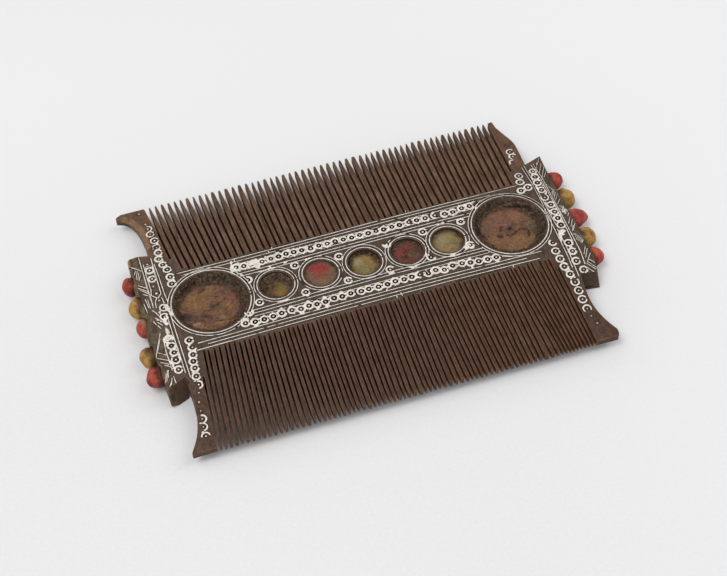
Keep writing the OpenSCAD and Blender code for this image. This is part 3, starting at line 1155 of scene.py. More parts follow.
    def join(self, x: float, y: float, angle: float) -> None:
        """Fills the corners where two rings touch, on either side of their row.

        Args:
            x: where they touch, along the spine.
            y: where they touch, towards the coarse teeth.
            angle: the row's direction in degrees.
        """
        for way in (-1, 1):
            if self.dice.random() < self.join_share:
                a = math.radians(angle) + way * math.pi / 2
                reach = [self.dice.uniform(*ends) for ends in (self.join_near, self.join_far)]
                self.line([(x + r * math.cos(a), y + r * math.sin(a)) for r in reach],
                          self.dice.uniform(*self.join_width), 0.0, taper=True)

    def _trim(self, bm: bmesh.types.BMesh) -> None:
        """Takes off what hangs over an edge, and corners that only touch at a point.

        Args:
            bm: the cuts or the filler.
        """
        mids = {face: face.calc_center_median() / MM for face in bm.faces}
        over = [f for f, mid in mids.items() if self.face.bare(mid.x + MID_X, mid.y + MID_Y)]
        bmesh.ops.delete(bm, geom=over, context="FACES")
        while True:
            touching = {min(v.link_faces, key=lambda f: f.index) for v in bm.verts
                        if v.link_faces and sum(e.is_boundary for e in v.link_edges) > 2}
            if not touching:
                break
            bmesh.ops.delete(bm, geom=list(touching), context="FACES")

    def finish(self, finish: PasteFinish) -> None:
        """Trims and closes the cuts and the filler and dresses them.

        Args:
            finish: the filler's finish.
        """
        for bm, depth in ((self.cuts, self.cut_depth), (self.bm, self.depth)):
            self._trim(bm)
            close_below(bm, depth * MM)
        finish_piece(self.cuts, "scribed_cuts", "wood", CutFinish().material(), smooth_below=50.0)
        finish_piece(self.bm, "white_paste_ornament", "white_fill", finish.material(),
                     smooth_below=50.0)


@dataclass(frozen=True)
class BandLine:
    """One scribed line along the spine: its y at the stations, its ends and its wear."""

    ys: tuple[float, ...]
    start: float
    end: float
    width: float = 0.3
    loss: float = 0.1


# The x places at which each line's y is given
STATIONS = (-72.0, -58.0, -41.0, -19.5, 9.0, 28.0, 52.0, 72.0)
BAND_LINES = (
    BandLine((-10.1, -9.6, -9.2, -8.52, -7.88, -7.76, -8.1, -8.4), -46.0, 45.8, loss=0.14),
    BandLine((-11.3, -10.9, -10.64, -10.04, -9.28, -9.32, -9.5, -9.8), -47.4, 46.8, loss=0.14),
    BandLine((-12.5, -12.3, -12.1, -11.76, -11.3, -11.0, -10.9, -10.9), -46.0, 47.0, 0.26, 0.26),
    BandLine((-17.7, -17.4, -17.0, -16.6, -16.28, -16.2, -16.44, -16.7), -69.0, 66.0),
    BandLine((-19.2, -18.9, -18.52, -18.08, -17.76, -17.72, -17.96, -18.2), -65.5, 59.4),
    BandLine((-20.7, -20.4, -20.04, -19.64, -19.32, -19.24, -19.52, -19.8), -70.0, 64.2, loss=0.16),
    BandLine((7.8, 7.9, 7.96, 8.28, 8.7, 8.88, 8.9, 8.9), -46.4, 46.5, loss=0.16),
    BandLine((9.1, 9.2, 9.32, 9.64, 10.1, 10.32, 10.4, 10.4), -47.4, 47.2, loss=0.16),
    BandLine((10.6, 10.7, 10.9, 11.28, 11.6, 11.95, 12.0, 12.0), -46.0, 47.2, 0.26, 0.3),
    BandLine((13.9, 14.0, 14.16, 14.44, 14.9, 15.2, 15.28, 15.3), -46.0, 53.6, 0.26, 0.3),
    BandLine((15.4, 15.52, 15.6, 15.96, 16.45, 16.72, 16.72, 16.4), -67.6, 57.6, loss=0.16),
    BandLine((16.8, 16.92, 17.04, 17.32, 17.9, 18.08, 18.16, 18.1), -69.6, 69.5, loss=0.2),
)

F, R, L, T, B, C = Arc.FULL, Arc.RIGHT, Arc.LEFT, Arc.TOP, Arc.BOTTOM, Arc.CUP
MT, MB, ML, H = Arc.MOST_TOP, Arc.MOST_BOTTOM, Arc.MOST_LEFT, Arc.HOOK
G, S, E, N = Arc.GAP_RIGHT, Arc.SCRAP, Arc.EMPTY, Arc.NONE
# Columns of the marks: x, y, and the part of the ring that is still filled
NEAR_ROW: tuple[Mark, ...] = (
    (-50.2, -14.3, F), (-46.6, -14.7, F), (-43.1, -14.7, F), (-39.6, -14.4, F), (-36.2, -14.0, F),
    (-32.3, -13.9, F), (-28.9, -14.3, F), (-25.7, -13.8, F), (-22.7, -14.1, F), (-19.2, -13.9, F),
    (-15.7, -13.3, F), (-12.6, -13.5, F), (-9.1, -13.1, F), (-5.2, -13.4, F), (-2.2, -13.3, F),
    (1.6, -13.4, F), (5.2, -13.4, F), (8.5, -12.9, F), (11.8, -13.1, F), (15.0, -12.9, F),
    (18.2, -12.8, L), (21.5, -13.3, MB), (24.7, -12.6, F), (27.8, -13.5, F), (31.5, -12.6, F),
    (35.3, -12.6, F), (38.4, -13.3, F), (41.6, -13.7, F), (45.2, -13.8, F), (48.6, -13.9, F))
FAR_ROW: tuple[Mark, ...] = (
    (-46.9, 12.7, F), (-43.9, 12.4, F), (-41.0, 12.4, F), (-36.7, 12.4, F), (-33.1, 12.6, F),
    (-30.1, 12.8, F), (-27.0, 13.2, F), (-23.9, 13.1, F), (-20.8, 12.9, F), (-17.2, 12.7, MB),
    (-13.9, 13.1, F), (-10.6, 13.0, F), (-7.3, 13.2, MT), (-4.0, 13.1, F), (-0.7, 13.0, F),
    (2.7, 13.2, F), (6.0, 13.1, F), (9.2, 13.2, MB), (12.4, 13.0, F), (15.7, 13.2, F),
    (18.9, 13.2, F), (22.7, 13.5, L), (26.0, 13.4, F), (29.5, 13.4, F), (33.5, 13.5, L),
    (37.4, 13.1, ML), (40.8, 12.9, F), (44.6, 13.7, F), (48.0, 13.8, F))
BETWEEN: tuple[Mark, ...] = (
    (-44.1, 5.3, R), (-42.7, -6.4, F), (-25.4, 6.5, F), (-25.0, -7.2, F), (-8.1, 5.5, F),
    (-8.2, -6.9, F), (11.0, 5.6, B), (8.5, -6.9, H), (26.3, 7.0, F), (25.1, -6.0, C),
    (42.0, 7.3, F), (41.3, -5.0, F), (-47.6, -9.9, MB))
LEFT_BLOCK: tuple[Mark, ...] = (
    (-78.6, 25.8, N), (-78.4, 22.2, F), (-78.5, 17.3, F), (-78.8, 13.6, N), (-78.4, 9.9, N),
    (-78.1, 6.3, N), (-77.2, 2.5, F), (-78.1, -1.7, F), (-79.0, -12.4, L), (-78.5, -15.7, F),
    (-78.2, -19.0, F), (-78.3, -22.2, MB), (-78.4, -26.3, F))
RIGHT_BLOCK: tuple[Mark, ...] = (
    (78.9, 24.0, F), (78.3, 20.4, F), (77.9, 17.0, F), (78.0, 12.8, F), (77.7, 8.6, MB),
    (78.5, 4.4, F), (78.6, 0.5, F), (78.4, -2.9, F), (78.2, -6.6, F), (77.5, -16.0, F),
    (77.3, -20.3, F), (77.0, -24.7, F), (78.2, -29.2, F))
GUARDS: tuple[Mark, ...] = (
    (-74.2, 42.1, F), (-73.3, 37.9, F), (-73.4, 34.1, F), (-73.3, 30.7, F), (-73.8, 27.3, F),
    (-73.0, 23.5, F), (-71.9, 20.3, F), (-71.7, 16.1, F), (-71.9, 12.7, F), (-74.5, 45.3, R),
    (-74.8, 48.3, N), (-76.1, 55.1, N),
    (-71.7, -15.4, F), (-71.4, -18.8, C), (-71.9, -21.9, F), (-72.5, -24.6, F),
    (-72.6, -27.4, F), (-73.0, -30.7, F), (-73.0, -34.3, R), (-73.6, -37.5, N),
    (-74.5, -41.2, N), (-74.8, -44.7, N), (-75.1, -48.0, R), (-75.5, -51.2, R),
    (-75.5, -55.0, T),
    (72.5, 23.4, F), (71.6, 19.6, F), (70.2, 15.0, F), (73.5, 15.8, F), (74.8, 38.5, G),
    (74.8, 35.5, H), (73.7, 32.0, S), (75.0, 42.5, E),
    (71.8, -14.0, C), (71.2, -18.2, F), (71.4, -22.1, F), (71.7, -25.8, F), (72.6, -29.5, F),
    (73.0, -33.3, MB), (72.9, -37.3, F), (72.8, -41.3, F), (72.8, -45.5, MT), (73.0, -49.0, N),
    (74.0, -52.5, N), (74.5, -56.0, E))

# Columns: share that has fallen out, the line's points
BLOCK_LINES: tuple[tuple[float, tuple[Point, ...]], ...] = (
    (0.1, ((-81.1, 30.8), (-81.1, 15.0), (-80.9, 3.6))),
    (0.1, ((-80.1, 26.2), (-80.2, 19.0), (-80.0, 12.0), (-80.5, 9.6))),
    (0.1, ((-80.5, 9.6), (-78.4, 7.5), (-76.9, 9.2))),
    (0.1, ((-78.8, 7.8), (-79.8, 5.6), (-79.9, 3.2))),
    (0.15, ((-76.7, 28.6), (-76.8, 20.0), (-76.8, 9.2))),
    (0.1, ((-77.0, 7.4), (-76.6, 4.4))),
    (0.1, ((-76.1, 25.0), (-75.8, 18.0), (-75.6, 9.5), (-75.2, 4.5))),
    (0.1, ((-75.6, -0.5), (-75.5, -10.0), (-75.3, -20.0), (-75.0, -30.6))),
    (0.1, ((-76.9, -2.5), (-76.8, -12.0), (-76.5, -20.0), (-76.3, -28.4))),
    (0.25, ((-80.6, -12.8), (-80.9, -18.0), (-80.6, -26.0))),
    (0.1, ((-80.7, -28.4), (-80.5, -31.4))),
    (0.1, ((75.6, 27.9), (75.7, 16.0), (75.6, 4.6))),
    (0.12, ((76.8, 28.4), (76.7, 20.0), (76.4, 10.0), (76.4, -6.0))),
    (0.12, ((79.7, 28.0), (79.9, 20.0), (80.0, 6.0), (79.6, -6.0), (79.3, -16.0))),
    (0.1, ((80.7, 28.2), (80.7, 19.2), (80.5, 9.0), (80.5, -1.5), (80.3, -12.0), (80.1, -22.0),
           (79.7, -27.0))),
    (0.12, ((75.2, 3.0), (75.1, -6.0), (74.9, -14.0), (74.7, -21.0), (74.5, -27.2))),
    (0.15, ((76.1, -8.0), (75.9, -18.0), (75.6, -25.4), (75.4, -31.4))),
)
# Columns of the hatching and the ticks: the x and y of both ends
HATCH: tuple[tuple[float, float, float, float], ...] = (
    (-79.4, 24.8, -77.4, 24.8), (-79.4, 20.2, -77.2, 20.3), (-79.5, 18.9, -77.2, 18.9),
    (-79.6, 24.6, -79.6, 20.4), (-77.1, 24.4, -77.0, 19.2), (-85.5, 27.6, -81.2, 22.6),
    (-83.6, 24.2, -84.4, 22.6), (-83.0, 23.6, -84.2, 20.2), (-82.6, 22.4, -83.7, 19.6),
    (-82.4, 20.8, -83.3, 18.9), (-84.1, 17.0, -81.2, 13.5), (-84.4, 15.9, -81.2, 11.9),
    (-83.8, 14.4, -81.2, 10.8), (-83.2, 11.8, -81.6, 10.1), (-83.0, 9.3, -82.5, 4.4),
    (-82.2, 8.6, -82.0, 4.0), (-83.9, 7.5, -83.5, 3.0), (-81.6, 2.6, -80.2, 0.4),
    (-81.3, -1.2, -79.6, -3.4), (-80.9, -3.6, -79.4, -5.6), (-81.2, -5.0, -80.4, -6.8),
    (-80.6, 0.8, -79.6, -1.2), (-82.3, -2.2, -81.6, -4.4), (-81.2, -8.9, -84.4, -16.2),
    (-81.7, -11.0, -84.1, -16.4), (-84.4, -16.2, -85.0, -18.6), (-83.7, -16.4, -80.7, -19.6),
    (-84.5, -18.4, -80.7, -22.1), (-83.9, -20.8, -81.0, -23.4), (-82.8, -22.8, -80.5, -24.8),
    (-82.3, -25.5, -83.5, -29.8), (-81.9, -25.4, -82.6, -28.4), (-83.0, -26.6, -84.2, -30.3),
    (-81.4, -28.9, -82.6, -32.5), (-81.9, -30.4, -83.2, -32.4), (80.8, 19.2, 84.4, 25.6),
    (81.6, 19.0, 84.4, 23.3), (81.0, 22.2, 83.7, 27.4), (82.2, 27.2, 84.1, 30.6),
    (81.2, 25.6, 82.4, 28.6), (80.8, 15.1, 82.8, 12.2), (82.8, 12.2, 81.0, 8.5),
    (81.2, 13.3, 82.3, 11.9), (82.3, 11.9, 81.2, 9.8), (83.2, 12.4, 81.5, 8.0),
    (81.0, 5.8, 83.7, 9.9), (81.2, 4.0, 83.7, 7.2), (81.0, 7.0, 83.2, 10.8),
    (81.4, 3.2, 83.8, -0.4), (82.4, 3.4, 84.2, 0.2), (81.0, 1.6, 82.8, -1.4),
    (82.0, -1.6, 84.0, 1.4), (81.2, -0.6, 83.4, 3.0), (82.8, -2.6, 84.1, -0.6),
    (81.7, -8.5, 84.0, -4.4), (81.4, -6.8, 83.6, -2.8), (81.9, -10.3, 84.4, -6.2),
    (81.2, -10.8, 82.6, -8.4), (81.0, -12.3, 83.5, -15.3), (81.0, -13.6, 83.2, -16.2),
    (81.0, -14.9, 82.8, -17.0), (81.6, -12.0, 84.0, -14.6), (82.6, -17.0, 84.0, -15.2),
    (81.0, -24.4, 83.7, -19.8), (80.8, -26.6, 84.0, -22.1), (81.0, -22.8, 83.4, -18.6),
    (80.4, -27.0, 82.8, -30.3), (79.8, -28.5, 81.9, -31.6), (80.9, -26.2, 83.2, -29.4),
    (81.8, -25.2, 83.6, -27.4), (20.9, -11.3, 21.6, -13.0), (50.9, -14.3, 54.5, -15.6),
    (52.7, 15.0, 49.9, 12.4), (60.7, 16.2, 63.0, 15.1), (-52.8, -12.6, -50.6, -13.0),
    (-8.2, -4.9, -8.2, -6.6))
TICKS: tuple[tuple[float, float, float, float], ...] = (
    (-31.4, 17.2, -31.3, 18.4), (-33.1, 15.6, -33.0, 17.0), (-28.4, -17.9, -28.1, -18.7),
    (6.8, -19.4, 6.7, -20.8), (8.6, -18.5, 8.9, -20.4), (53.3, -19.5, 53.0, -21.0),
    (23.3, 18.9, 23.5, 20.0), (-34.5, 8.3, -34.3, 9.7), (-46.6, 15.6, -46.6, 17.1))
# Columns: x, y, length, width, angle, share that has fallen out
SMEARS: tuple[tuple[float, float, float, float, float, float], ...] = (
    (-48.1, 12.4, 4.2, 2.6, 80, 0.12), (-46.1, 11.2, 2.4, 2.0, 0, 0.2),
    (-45.9, 14.4, 2.6, 1.0, 0, 0.1), (-48.0, 15.4, 2.6, 1.0, 80, 0.1),
    (-39.0, 11.7, 5.6, 2.4, 88, 0.08), (-39.2, 14.0, 2.6, 1.2, 0, 0.1),
    (-41.0, 12.9, 3.2, 2.4, 0, 0.1), (-42.2, 11.0, 2.4, 1.2, 0, 0.1),
    (-39.4, 11.2, 2.2, 1.6, 60, 0.1), (-30.4, 14.7, 3.4, 0.9, 0, 0.15),
    (-34.9, 13.8, 1.6, 1.0, 80, 0.1), (-25.5, 14.9, 2.4, 0.8, 0, 0.1),
    (-22.3, 14.0, 1.6, 1.0, 80, 0.1), (-18.9, 13.6, 2.6, 1.6, 60, 0.15),
    (-17.2, 11.3, 2.8, 0.9, 0, 0.1), (-35.1, 11.2, 1.2, 0.9, 0, 0.05),
    (-32.2, 11.0, 1.6, 0.9, 0, 0.05), (-24.2, 11.2, 1.2, 0.9, 0, 0.05),
    (-28.4, 9.2, 1.7, 1.2, 0, 0.0), (-34.5, 9.0, 1.3, 1.3, 0, 0.0),
    (-20.5, 8.0, 1.0, 0.9, 0, 0.0), (-36.2, 7.9, 8.4, 0.8, 0, 0.1), (33.0, 8.8, 1.2, 1.0, 0, 0.0),
    (35.1, 8.9, 1.2, 1.0, 0, 0.0), (46.4, 15.0, 1.6, 1.2, 0, 0.1),
    (50.0, 12.0, 1.6, 1.0, 45, 0.1), (48.8, 15.4, 5.4, 0.6, 0, 0.1),
    (-78.1, -4.4, 4.6, 1.8, 92, 0.22), (-78.3, -8.6, 5.2, 1.7, 88, 0.26),
    (-78.9, -11.9, 3.2, 2.6, 70, 0.12), (-77.6, -12.2, 2.6, 1.4, 90, 0.12),
    (-76.0, 1.6, 4.4, 2.0, -75, 0.05), (-75.3, -0.8, 3.4, 1.4, -70, 0.05),
    (-79.2, 0.5, 2.6, 1.2, 90, 0.2), (-80.2, -3.0, 3.4, 1.4, -50, 0.34),
    (-77.0, -2.4, 2.6, 1.0, 90, 0.1), (-79.9, -23.6, 3.6, 1.3, -70, 0.15),
    (-79.8, -25.4, 1.8, 1.2, 0, 0.1), (-77.0, -16.4, 2.6, 0.8, 90, 0.1),
    (-76.9, -20.4, 2.6, 0.8, 90, 0.1), (-71.0, -20.6, 1.4, 1.0, 30, 0.05),
    (-79.9, -14.6, 2.6, 0.9, 90, 0.1), (76.9, -10.4, 3.6, 2.6, 60, 0.05),
    (75.9, -11.6, 3.6, 1.6, 80, 0.12), (77.6, -9.8, 2.4, 1.8, 0, 0.1),
    (75.3, -13.4, 2.8, 0.9, 85, 0.15), (77.4, -18.2, 1.8, 1.4, 90, 0.1),
    (78.8, -16.6, 2.6, 0.8, 90, 0.1), (77.0, 5.0, 3.2, 0.8, 90, 0.1),
    (76.9, 1.0, 3.6, 0.9, 90, 0.1), (79.9, -2.0, 3.2, 0.8, 90, 0.1),
    (79.4, 14.9, 2.0, 1.0, 70, 0.1), (76.7, 14.6, 2.0, 0.9, 90, 0.1),
    (79.0, 10.8, 2.2, 0.9, 60, 0.1), (82.6, 0.4, 3.4, 2.4, 70, 0.4),
    (82.8, -8.0, 3.0, 1.6, 60, 0.4), (-34.4, -8.6, 5.8, 0.9, 0, 0.05),
    (-17.8, -8.3, 5.2, 0.8, 4, 0.05), (17.6, -8.4, 3.6, 1.3, 0, 0.12),
    (33.4, -7.6, 2.6, 1.3, 0, 0.02), (23.7, -4.4, 2.2, 1.0, 80, 0.05),
    (26.3, -7.0, 1.2, 1.4, 0, 0.05), (39.9, -5.6, 2.8, 1.8, 30, 0.02),
    (41.6, -6.6, 1.8, 1.0, 0, 0.05), (8.4, -8.6, 2.4, 1.5, 0, 0.02),
    (11.0, 5.0, 2.6, 1.0, 0, 0.05), (-46.2, 8.9, 3.0, 0.8, -50, 0.1),
    (-24.9, -9.0, 1.6, 0.8, 0, 0.02), (4.2, -15.9, 1.2, 0.8, 85, 0.0),
    (-29.0, -16.2, 1.8, 1.8, 80, 0.02), (-22.9, -16.2, 1.6, 1.2, 95, 0.02),
    (-19.1, -16.2, 2.0, 1.9, 88, 0.02), (-19.2, -11.9, 1.4, 1.7, 88, 0.05),
    (38.4, -15.6, 1.6, 1.0, 90, 0.02), (38.8, -11.4, 1.6, 1.2, 60, 0.02),
    (48.4, -15.8, 1.4, 1.6, 90, 0.02), (-25.5, -11.9, 1.4, 2.0, 90, 0.1),
    (-46.8, -16.6, 1.2, 1.8, 90, 0.1), (-50.0, -12.6, 1.6, 3.0, 80, 0.08),
    (-12.4, -11.6, 1.2, 1.8, 90, 0.1), (-36.2, -12.0, 1.2, 1.8, 90, 0.1),
    (-32.2, -12.0, 1.4, 1.8, 90, 0.08))


@dataclass
class Ornament:
    """Where the filler lies on the comb.

    A ring about a recess is given by its radius, its width and the share that has fallen out.
    Marks on the end blocks and end teeth have narrower filler, and those near the tips the
    narrowest.
    """

    face: TopFace
    large_rings: tuple[tuple[float, float, float], ...] = ((15.0, 0.36, 0.06), (16.15, 0.28, 0.22))
    small_rings: tuple[tuple[float, float, float], ...] = ((7.15, 0.34, 0.1), (8.35, 0.28, 0.28))
    ring_play: float = 0.1
    ends_from: float = 70.0
    end_width: float = 0.86
    tips_from: float = 31.0
    tip_width: float = 0.74
    join_within: float = 3.9
    spur_share: float = 0.55
    spur: Point = (1.45, 2.15)
    spur_lean: float = 0.5
    spur_turn: float = 1.6
    spur_width: Point = (0.25, 0.5)
    block_width: float = 0.32
    hatch_width: float = 0.25
    hatch_loss: float = 0.06
    tick_width: float = 0.34

    def build(self, finish: PasteFinish) -> None:
        """Lays all the filler.

        Args:
            finish: the filler's finish.
        """
        paste = PasteWork(self.face)
        self._lines(paste)
        self._marks(paste)
        for loss, points in BLOCK_LINES:
            paste.line(points, self.block_width, loss)
        for x0, y0, x1, y1 in HATCH:
            paste.line([(x0, y0), (x1, y1)], self.hatch_width, self.hatch_loss)
        for x0, y0, x1, y1 in TICKS:
            paste.line([(x0, y0), (x1, y1)], self.tick_width, 0.0, taper=True)
        for smear in SMEARS:
            paste.smear(*smear)
        paste.finish(finish)

    def _lines(self, paste: PasteWork) -> None:
        """Lays the lines along the spine and the rings about the recesses.

        Args:
            paste: the filler so far.
        """
        for line in BAND_LINES:
            inside = [(x, y) for x, y in zip(STATIONS, line.ys) if line.start < x < line.end]
            ends = [(x, self._station_y(line, x)) for x in (line.start, line.end)]
            paste.line([ends[0], *inside, ends[1]], line.width, line.loss)
        for x in LARGE_X:
            for r, w, loss in self.large_rings:
                paste.ring(x, 0.0, Arc.FULL, r, w, loss)
        for x in SMALL_X:
            for r, w, loss in self.small_rings:
                r += paste.dice.uniform(-self.ring_play, self.ring_play)
                paste.ring(x, 0.0, Arc.FULL, r, w, loss)

    def _marks(self, paste: PasteWork) -> None:
        """Lays the ring-and-dot marks, what joins them and the spurs beside their rows.

        Args:
            paste: the filler so far.
        """
        for row in (NEAR_ROW, FAR_ROW, BETWEEN, LEFT_BLOCK, RIGHT_BLOCK, GUARDS):
            for x, y, arc in row:
                broad = self.tip_width if abs(y) > self.tips_from else self.end_width
                paste.mark(x, y, arc, broad if abs(x) > self.ends_from else 1.0)
        for row in (NEAR_ROW, FAR_ROW, LEFT_BLOCK, RIGHT_BLOCK, GUARDS):
            for (x0, y0, a), (x1, y1, b) in zip(row, row[1:]):
                if math.dist((x0, y0), (x1, y1)) < self.join_within and not {N, S, E} & {a, b}:
                    paste.join((x0 + x1) / 2, (y0 + y1) / 2,
                               math.degrees(math.atan2(y1 - y0, x1 - x0)))
        for x, y, way in ((x, y, way) for row in (NEAR_ROW, FAR_ROW) for x, y, _ in row
                          for way in (-1, 1)):
            if paste.dice.random() < self.spur_share:
                lean = paste.dice.uniform(-self.spur_lean, self.spur_lean)
                near, far = (y + way * r for r in self.spur)
                paste.line([(x + lean, near), (x + lean * self.spur_turn, far)],
                           paste.dice.uniform(*self.spur_width), 0.0, taper=True)

    def _station_y(self, line: BandLine, x: float) -> float:
        """Finds the y of a line between its stations.

        Args:
            line: the line.
            x: place along the spine.

        Returns:
            Its y there.
        """
        stations = list(zip(STATIONS, line.ys))
        for (x0, y0), (x1, y1) in zip(stations, stations[1:]):
            if x0 <= x <= x1:
                return y0 + (y1 - y0) * (x - x0) / (x1 - x0)
        return line.ys[-1]


# Recess fills


Field = Callable[[float, float], float]


@dataclass
class RecessFill:
    """What is left in one recess: a closed cake with a rough upper side.

    Its underside stands gap over the recess's floor, and its crust rises from base over it.
    """

    name: str
    slot: str
    node: str
    x: float
    radius: float
    floor: float
    finish: CrustFinish
    height: Field
    tint: Optional[Field] = None
    cells: int = 60
    gap: float = 0.05
    base: float = 0.06
    thinnest: float = 0.02

    def build(self) -> None:
        """Bends a square sheet to a disc, raises its crust and closes it below."""
        bm = bmesh.new()
        bmesh.ops.create_grid(bm, x_segments=self.cells, y_segments=self.cells, size=1.0)
        layer = bm.verts.layers.float.new("tint")
        for vert in bm.verts:
            u, v = vert.co.x, vert.co.y
            px = self.radius * u * math.sqrt(1 - v * v / 2)
            py = self.radius * v * math.sqrt(1 - u * u / 2)
            z = self.floor + self.base + max(self.height(px, py), self.thinnest)
            vert[layer] = self.tint(px, py) if self.tint else 0.0
            vert.co = Vector((self.x + px - MID_X, py - MID_Y, z)) * MM
        rim = [e for e in bm.edges if e.is_boundary]
        made = bmesh.ops.extrude_edge_only(bm, edges=rim)["geom"]
        for vert in (v for v in made if isinstance(v, bmesh.types.BMVert)):
            vert.co.z = (self.floor + self.gap) * MM
        bmesh.ops.holes_fill(bm, edges=[e for e in bm.edges if e.is_boundary], sides=0)
        bmesh.ops.recalc_face_normals(bm, faces=list(bm.faces))
        finish_piece(bm, self.name, self.slot, self.finish.material(), [self.node], 60.0)


def near_path(x: float, y: float, points: Sequence[Point]) -> float:
    """Measures how far a place lies from a crack or a ridge.

    Args:
        x: the place, from the middle of its recess along the spine.
        y: the place, towards the coarse teeth.
        points: the bends and ends of the crack.

    Returns:
        The distance in millimetres.
    """
    best = math.inf
    for (x0, y0), (x1, y1) in zip(points, points[1:]):
        dx, dy = x1 - x0, y1 - y0
        t = min(max(((x - x0) * dx + (y - y0) * dy) / (dx * dx + dy * dy), 0.0), 1.0)
        best = min(best, math.hypot(x - x0 - dx * t, y - y0 - dy * t))
    return best


@dataclass(frozen=True)
class PuttyForm:
    """The relief of a large recess: putty banked on the wall, a bare floor and its cracks.

    The bank is ring wide, and up to extra wider towards the angle lean, where it also stands
    lean_height higher. Places are measured from the middle of the recess. A pit is given by
    its x, its y and its radius, and has a low lip. The two edge pairs hold the distances from
    a crack or a ridge at which it begins and is whole.
    """

    seed: float
    radius: float = 14.15
    ring: float = 2.0
    wall_height: float = 1.75
    lean: float = 130.0
    extra: float = 2.0
    crack_tint: float = 0.46
    cracks: tuple[tuple[Point, ...], ...] = ()
    ridges: tuple[tuple[Point, ...], ...] = ()
    pits: tuple[tuple[float, float, float], ...] = ()
    deepest: float = 0.3
    top: float = 2.38
    least_ring: float = 0.6
    lean_height: float = 0.35
    floor_crust: float = 0.2
    crumbs: float = 0.55
    pit_lip: float = 0.08
    bend: float = 0.5
    crack_edge: Point = (0.68, 0.1)
    ridge_edge: Point = (0.7, 0.1)
    ridge_tint: float = 0.5
    floor_tint: float = -0.03
    edge_noise: Layers = ((0.9, 0, 4.5), (0.6, 7, 1.6))
    floor_noise: Layers = ((0.12, 1, 5.0), (0.07, 2, 1.3), (0.04, 6, 0.6))
    bank_noise: Layers = ((0.4, 4, 3.0),)
    break_noise: Layers = ((1.0, 8, 1.6), (0.5, 0, 0.6))
    tint_noise: Layers = ((0.2, 9, 0.9), (0.17, 10, 2.2))

    def height(self, x: float, y: float) -> float:
        """Raises the putty over the floor.

        Args:
            x: place from the middle of the recess, along the spine.
            y: place from the middle, towards the coarse teeth.

        Returns:
            The height in millimetres.
        """
        r, turn = math.hypot(x, y), math.atan2(y, x)
        far = 0.5 + 0.5 * math.cos(turn - math.radians(self.lean))
        ring = self.ring + self.extra * far * far + layered(x, y, self.seed, self.edge_noise)
        share = smooth(r, self.radius - max(ring, self.least_ring), self.radius)
        crumb = abs(wander(x, y, self.seed + 3, 1.3)) + 0.6 * abs(wander(x, y, self.seed + 5, 0.6))
        z = self.floor_crust + layered(x, y, self.seed, self.floor_noise)
        z += share * (self.wall_height + self.lean_height * far
                      + layered(x, y, self.seed, self.bank_noise))
        z += self.crumbs * (crumb - 0.3) * smooth(share, 0.02, 0.4) * smooth(share, 1.0, 0.7)
        z -= self.deepest * (self._crack(x, y) - self._ridge(x, y))
        for px, py, size in self.pits:
            away = math.hypot(x - px, y - py)
            z -= self.deepest * smooth(away, size, size * 0.5)
            z += self.pit_lip * smooth(away, size * 3, size * 2)
        return min(z, self.top)

    def _crack(self, x: float, y: float) -> float:
        """Follows the cracks, which wander and break off here and there.

        Args:
            x: place from the middle of the recess, along the spine.
            y: place from the middle, towards the coarse teeth.

        Returns:
            How far the place lies in a crack, from 0 to 1.
        """
        broken = smooth(layered(x, y, self.seed, self.break_noise), -0.8, -0.2)
        bent = (x + self.bend * wander(x, y, 11.0, 1.1), y + self.bend * wander(x, y, 13.0, 1.1))
        frayed = 0.3 * wander(x, y, 9.0, 0.8)
        return broken * max(smooth(near_path(*bent, c) + frayed, *self.crack_edge)
                            for c in self.cracks)

    def _ridge(self, x: float, y: float) -> float:
        """Follows the ridges of putty on the floor.

        Args:
            x: place from the middle of the recess, along the spine.
            y: place from the middle, towards the coarse teeth.

        Returns:
            How far the place lies on a ridge, from 0 to 1.
        """
        frayed = 0.3 * wander(x, y, 5.0, 0.9)
        return max(smooth(near_path(x, y, r) + frayed, *self.ridge_edge) for r in self.ridges)

    def tint(self, x: float, y: float) -> float:
        """Darkens the cracks and pales the ridges.

        Args:
            x: place from the middle of the recess, along the spine.
            y: place from the middle, towards the coarse teeth.

        Returns:
            How much lighter the crust is here, or darker below 0.
        """
        return self.ridge_tint * self._ridge(x, y) - self.crack_tint * self._crack(x, y) \
            + self.floor_tint + layered(x, y, self.seed, self.tint_noise)


@dataclass(frozen=True)
class InlayForm:
    """The relief of a small recess: a dished or crowned fill with crumbs.

    rim and middle are heights over the floor. Going inwards, the fill leaves its rim at the
    share shoulder of its radius and reaches its middle's height over the share rise. A bank
    leans on the wall from bank_from out. The hollow is given by its x and y from the middle
    of the recess, its radius and its depth.
    """

    seed: float
    rim: float
    middle: float
    rough: float = 0.25
    radius: float = 6.25
    shoulder: float = 0.08
    bank: float = 0.0
    tilt: Point = (0.0, 0.0)
    hollow: tuple[float, float, float, float] = (0.0, 0.0, 1.0, 0.0)
    top: float = 2.05
    rise: float = 0.4
    bank_from: float = 0.72
    crumbs: Layers = ((0.6, 0, 2.2), (0.4, 2, 0.8))

    def height(self, x: float, y: float) -> float:
        """Raises the fill over the floor.

        Args:
            x: place from the middle of the recess, along the spine.
            y: place from the middle, towards the coarse teeth.

        Returns:
            The height in millimetres.
        """
        r = math.hypot(x, y) / self.radius
        z = self.rim + (self.middle - self.rim) * smooth(1 - r, self.shoulder,
                                                         self.shoulder + self.rise)
        z += (x * self.tilt[0] + y * self.tilt[1]) / self.radius
        z += self.rough * layered(x, y, self.seed, self.crumbs)
        z += self.bank * smooth(r, self.bank_from, 1.0)
        hx, hy, size, deep = self.hollow
        z -= deep * smooth(math.hypot(x - hx, y - hy), size, size * 0.3)
        return min(z, self.top)


@dataclass(frozen=True)
class Inlay:
    """One small fill: its relief, its tones, its darker rim and its spots."""

    name: str
    form: InlayForm
    tones: tuple[Colour, Colour, Colour]
    rim: Colour
    rim_at: float
    rim_lean: Point
    spots: tuple[Spot, ...]


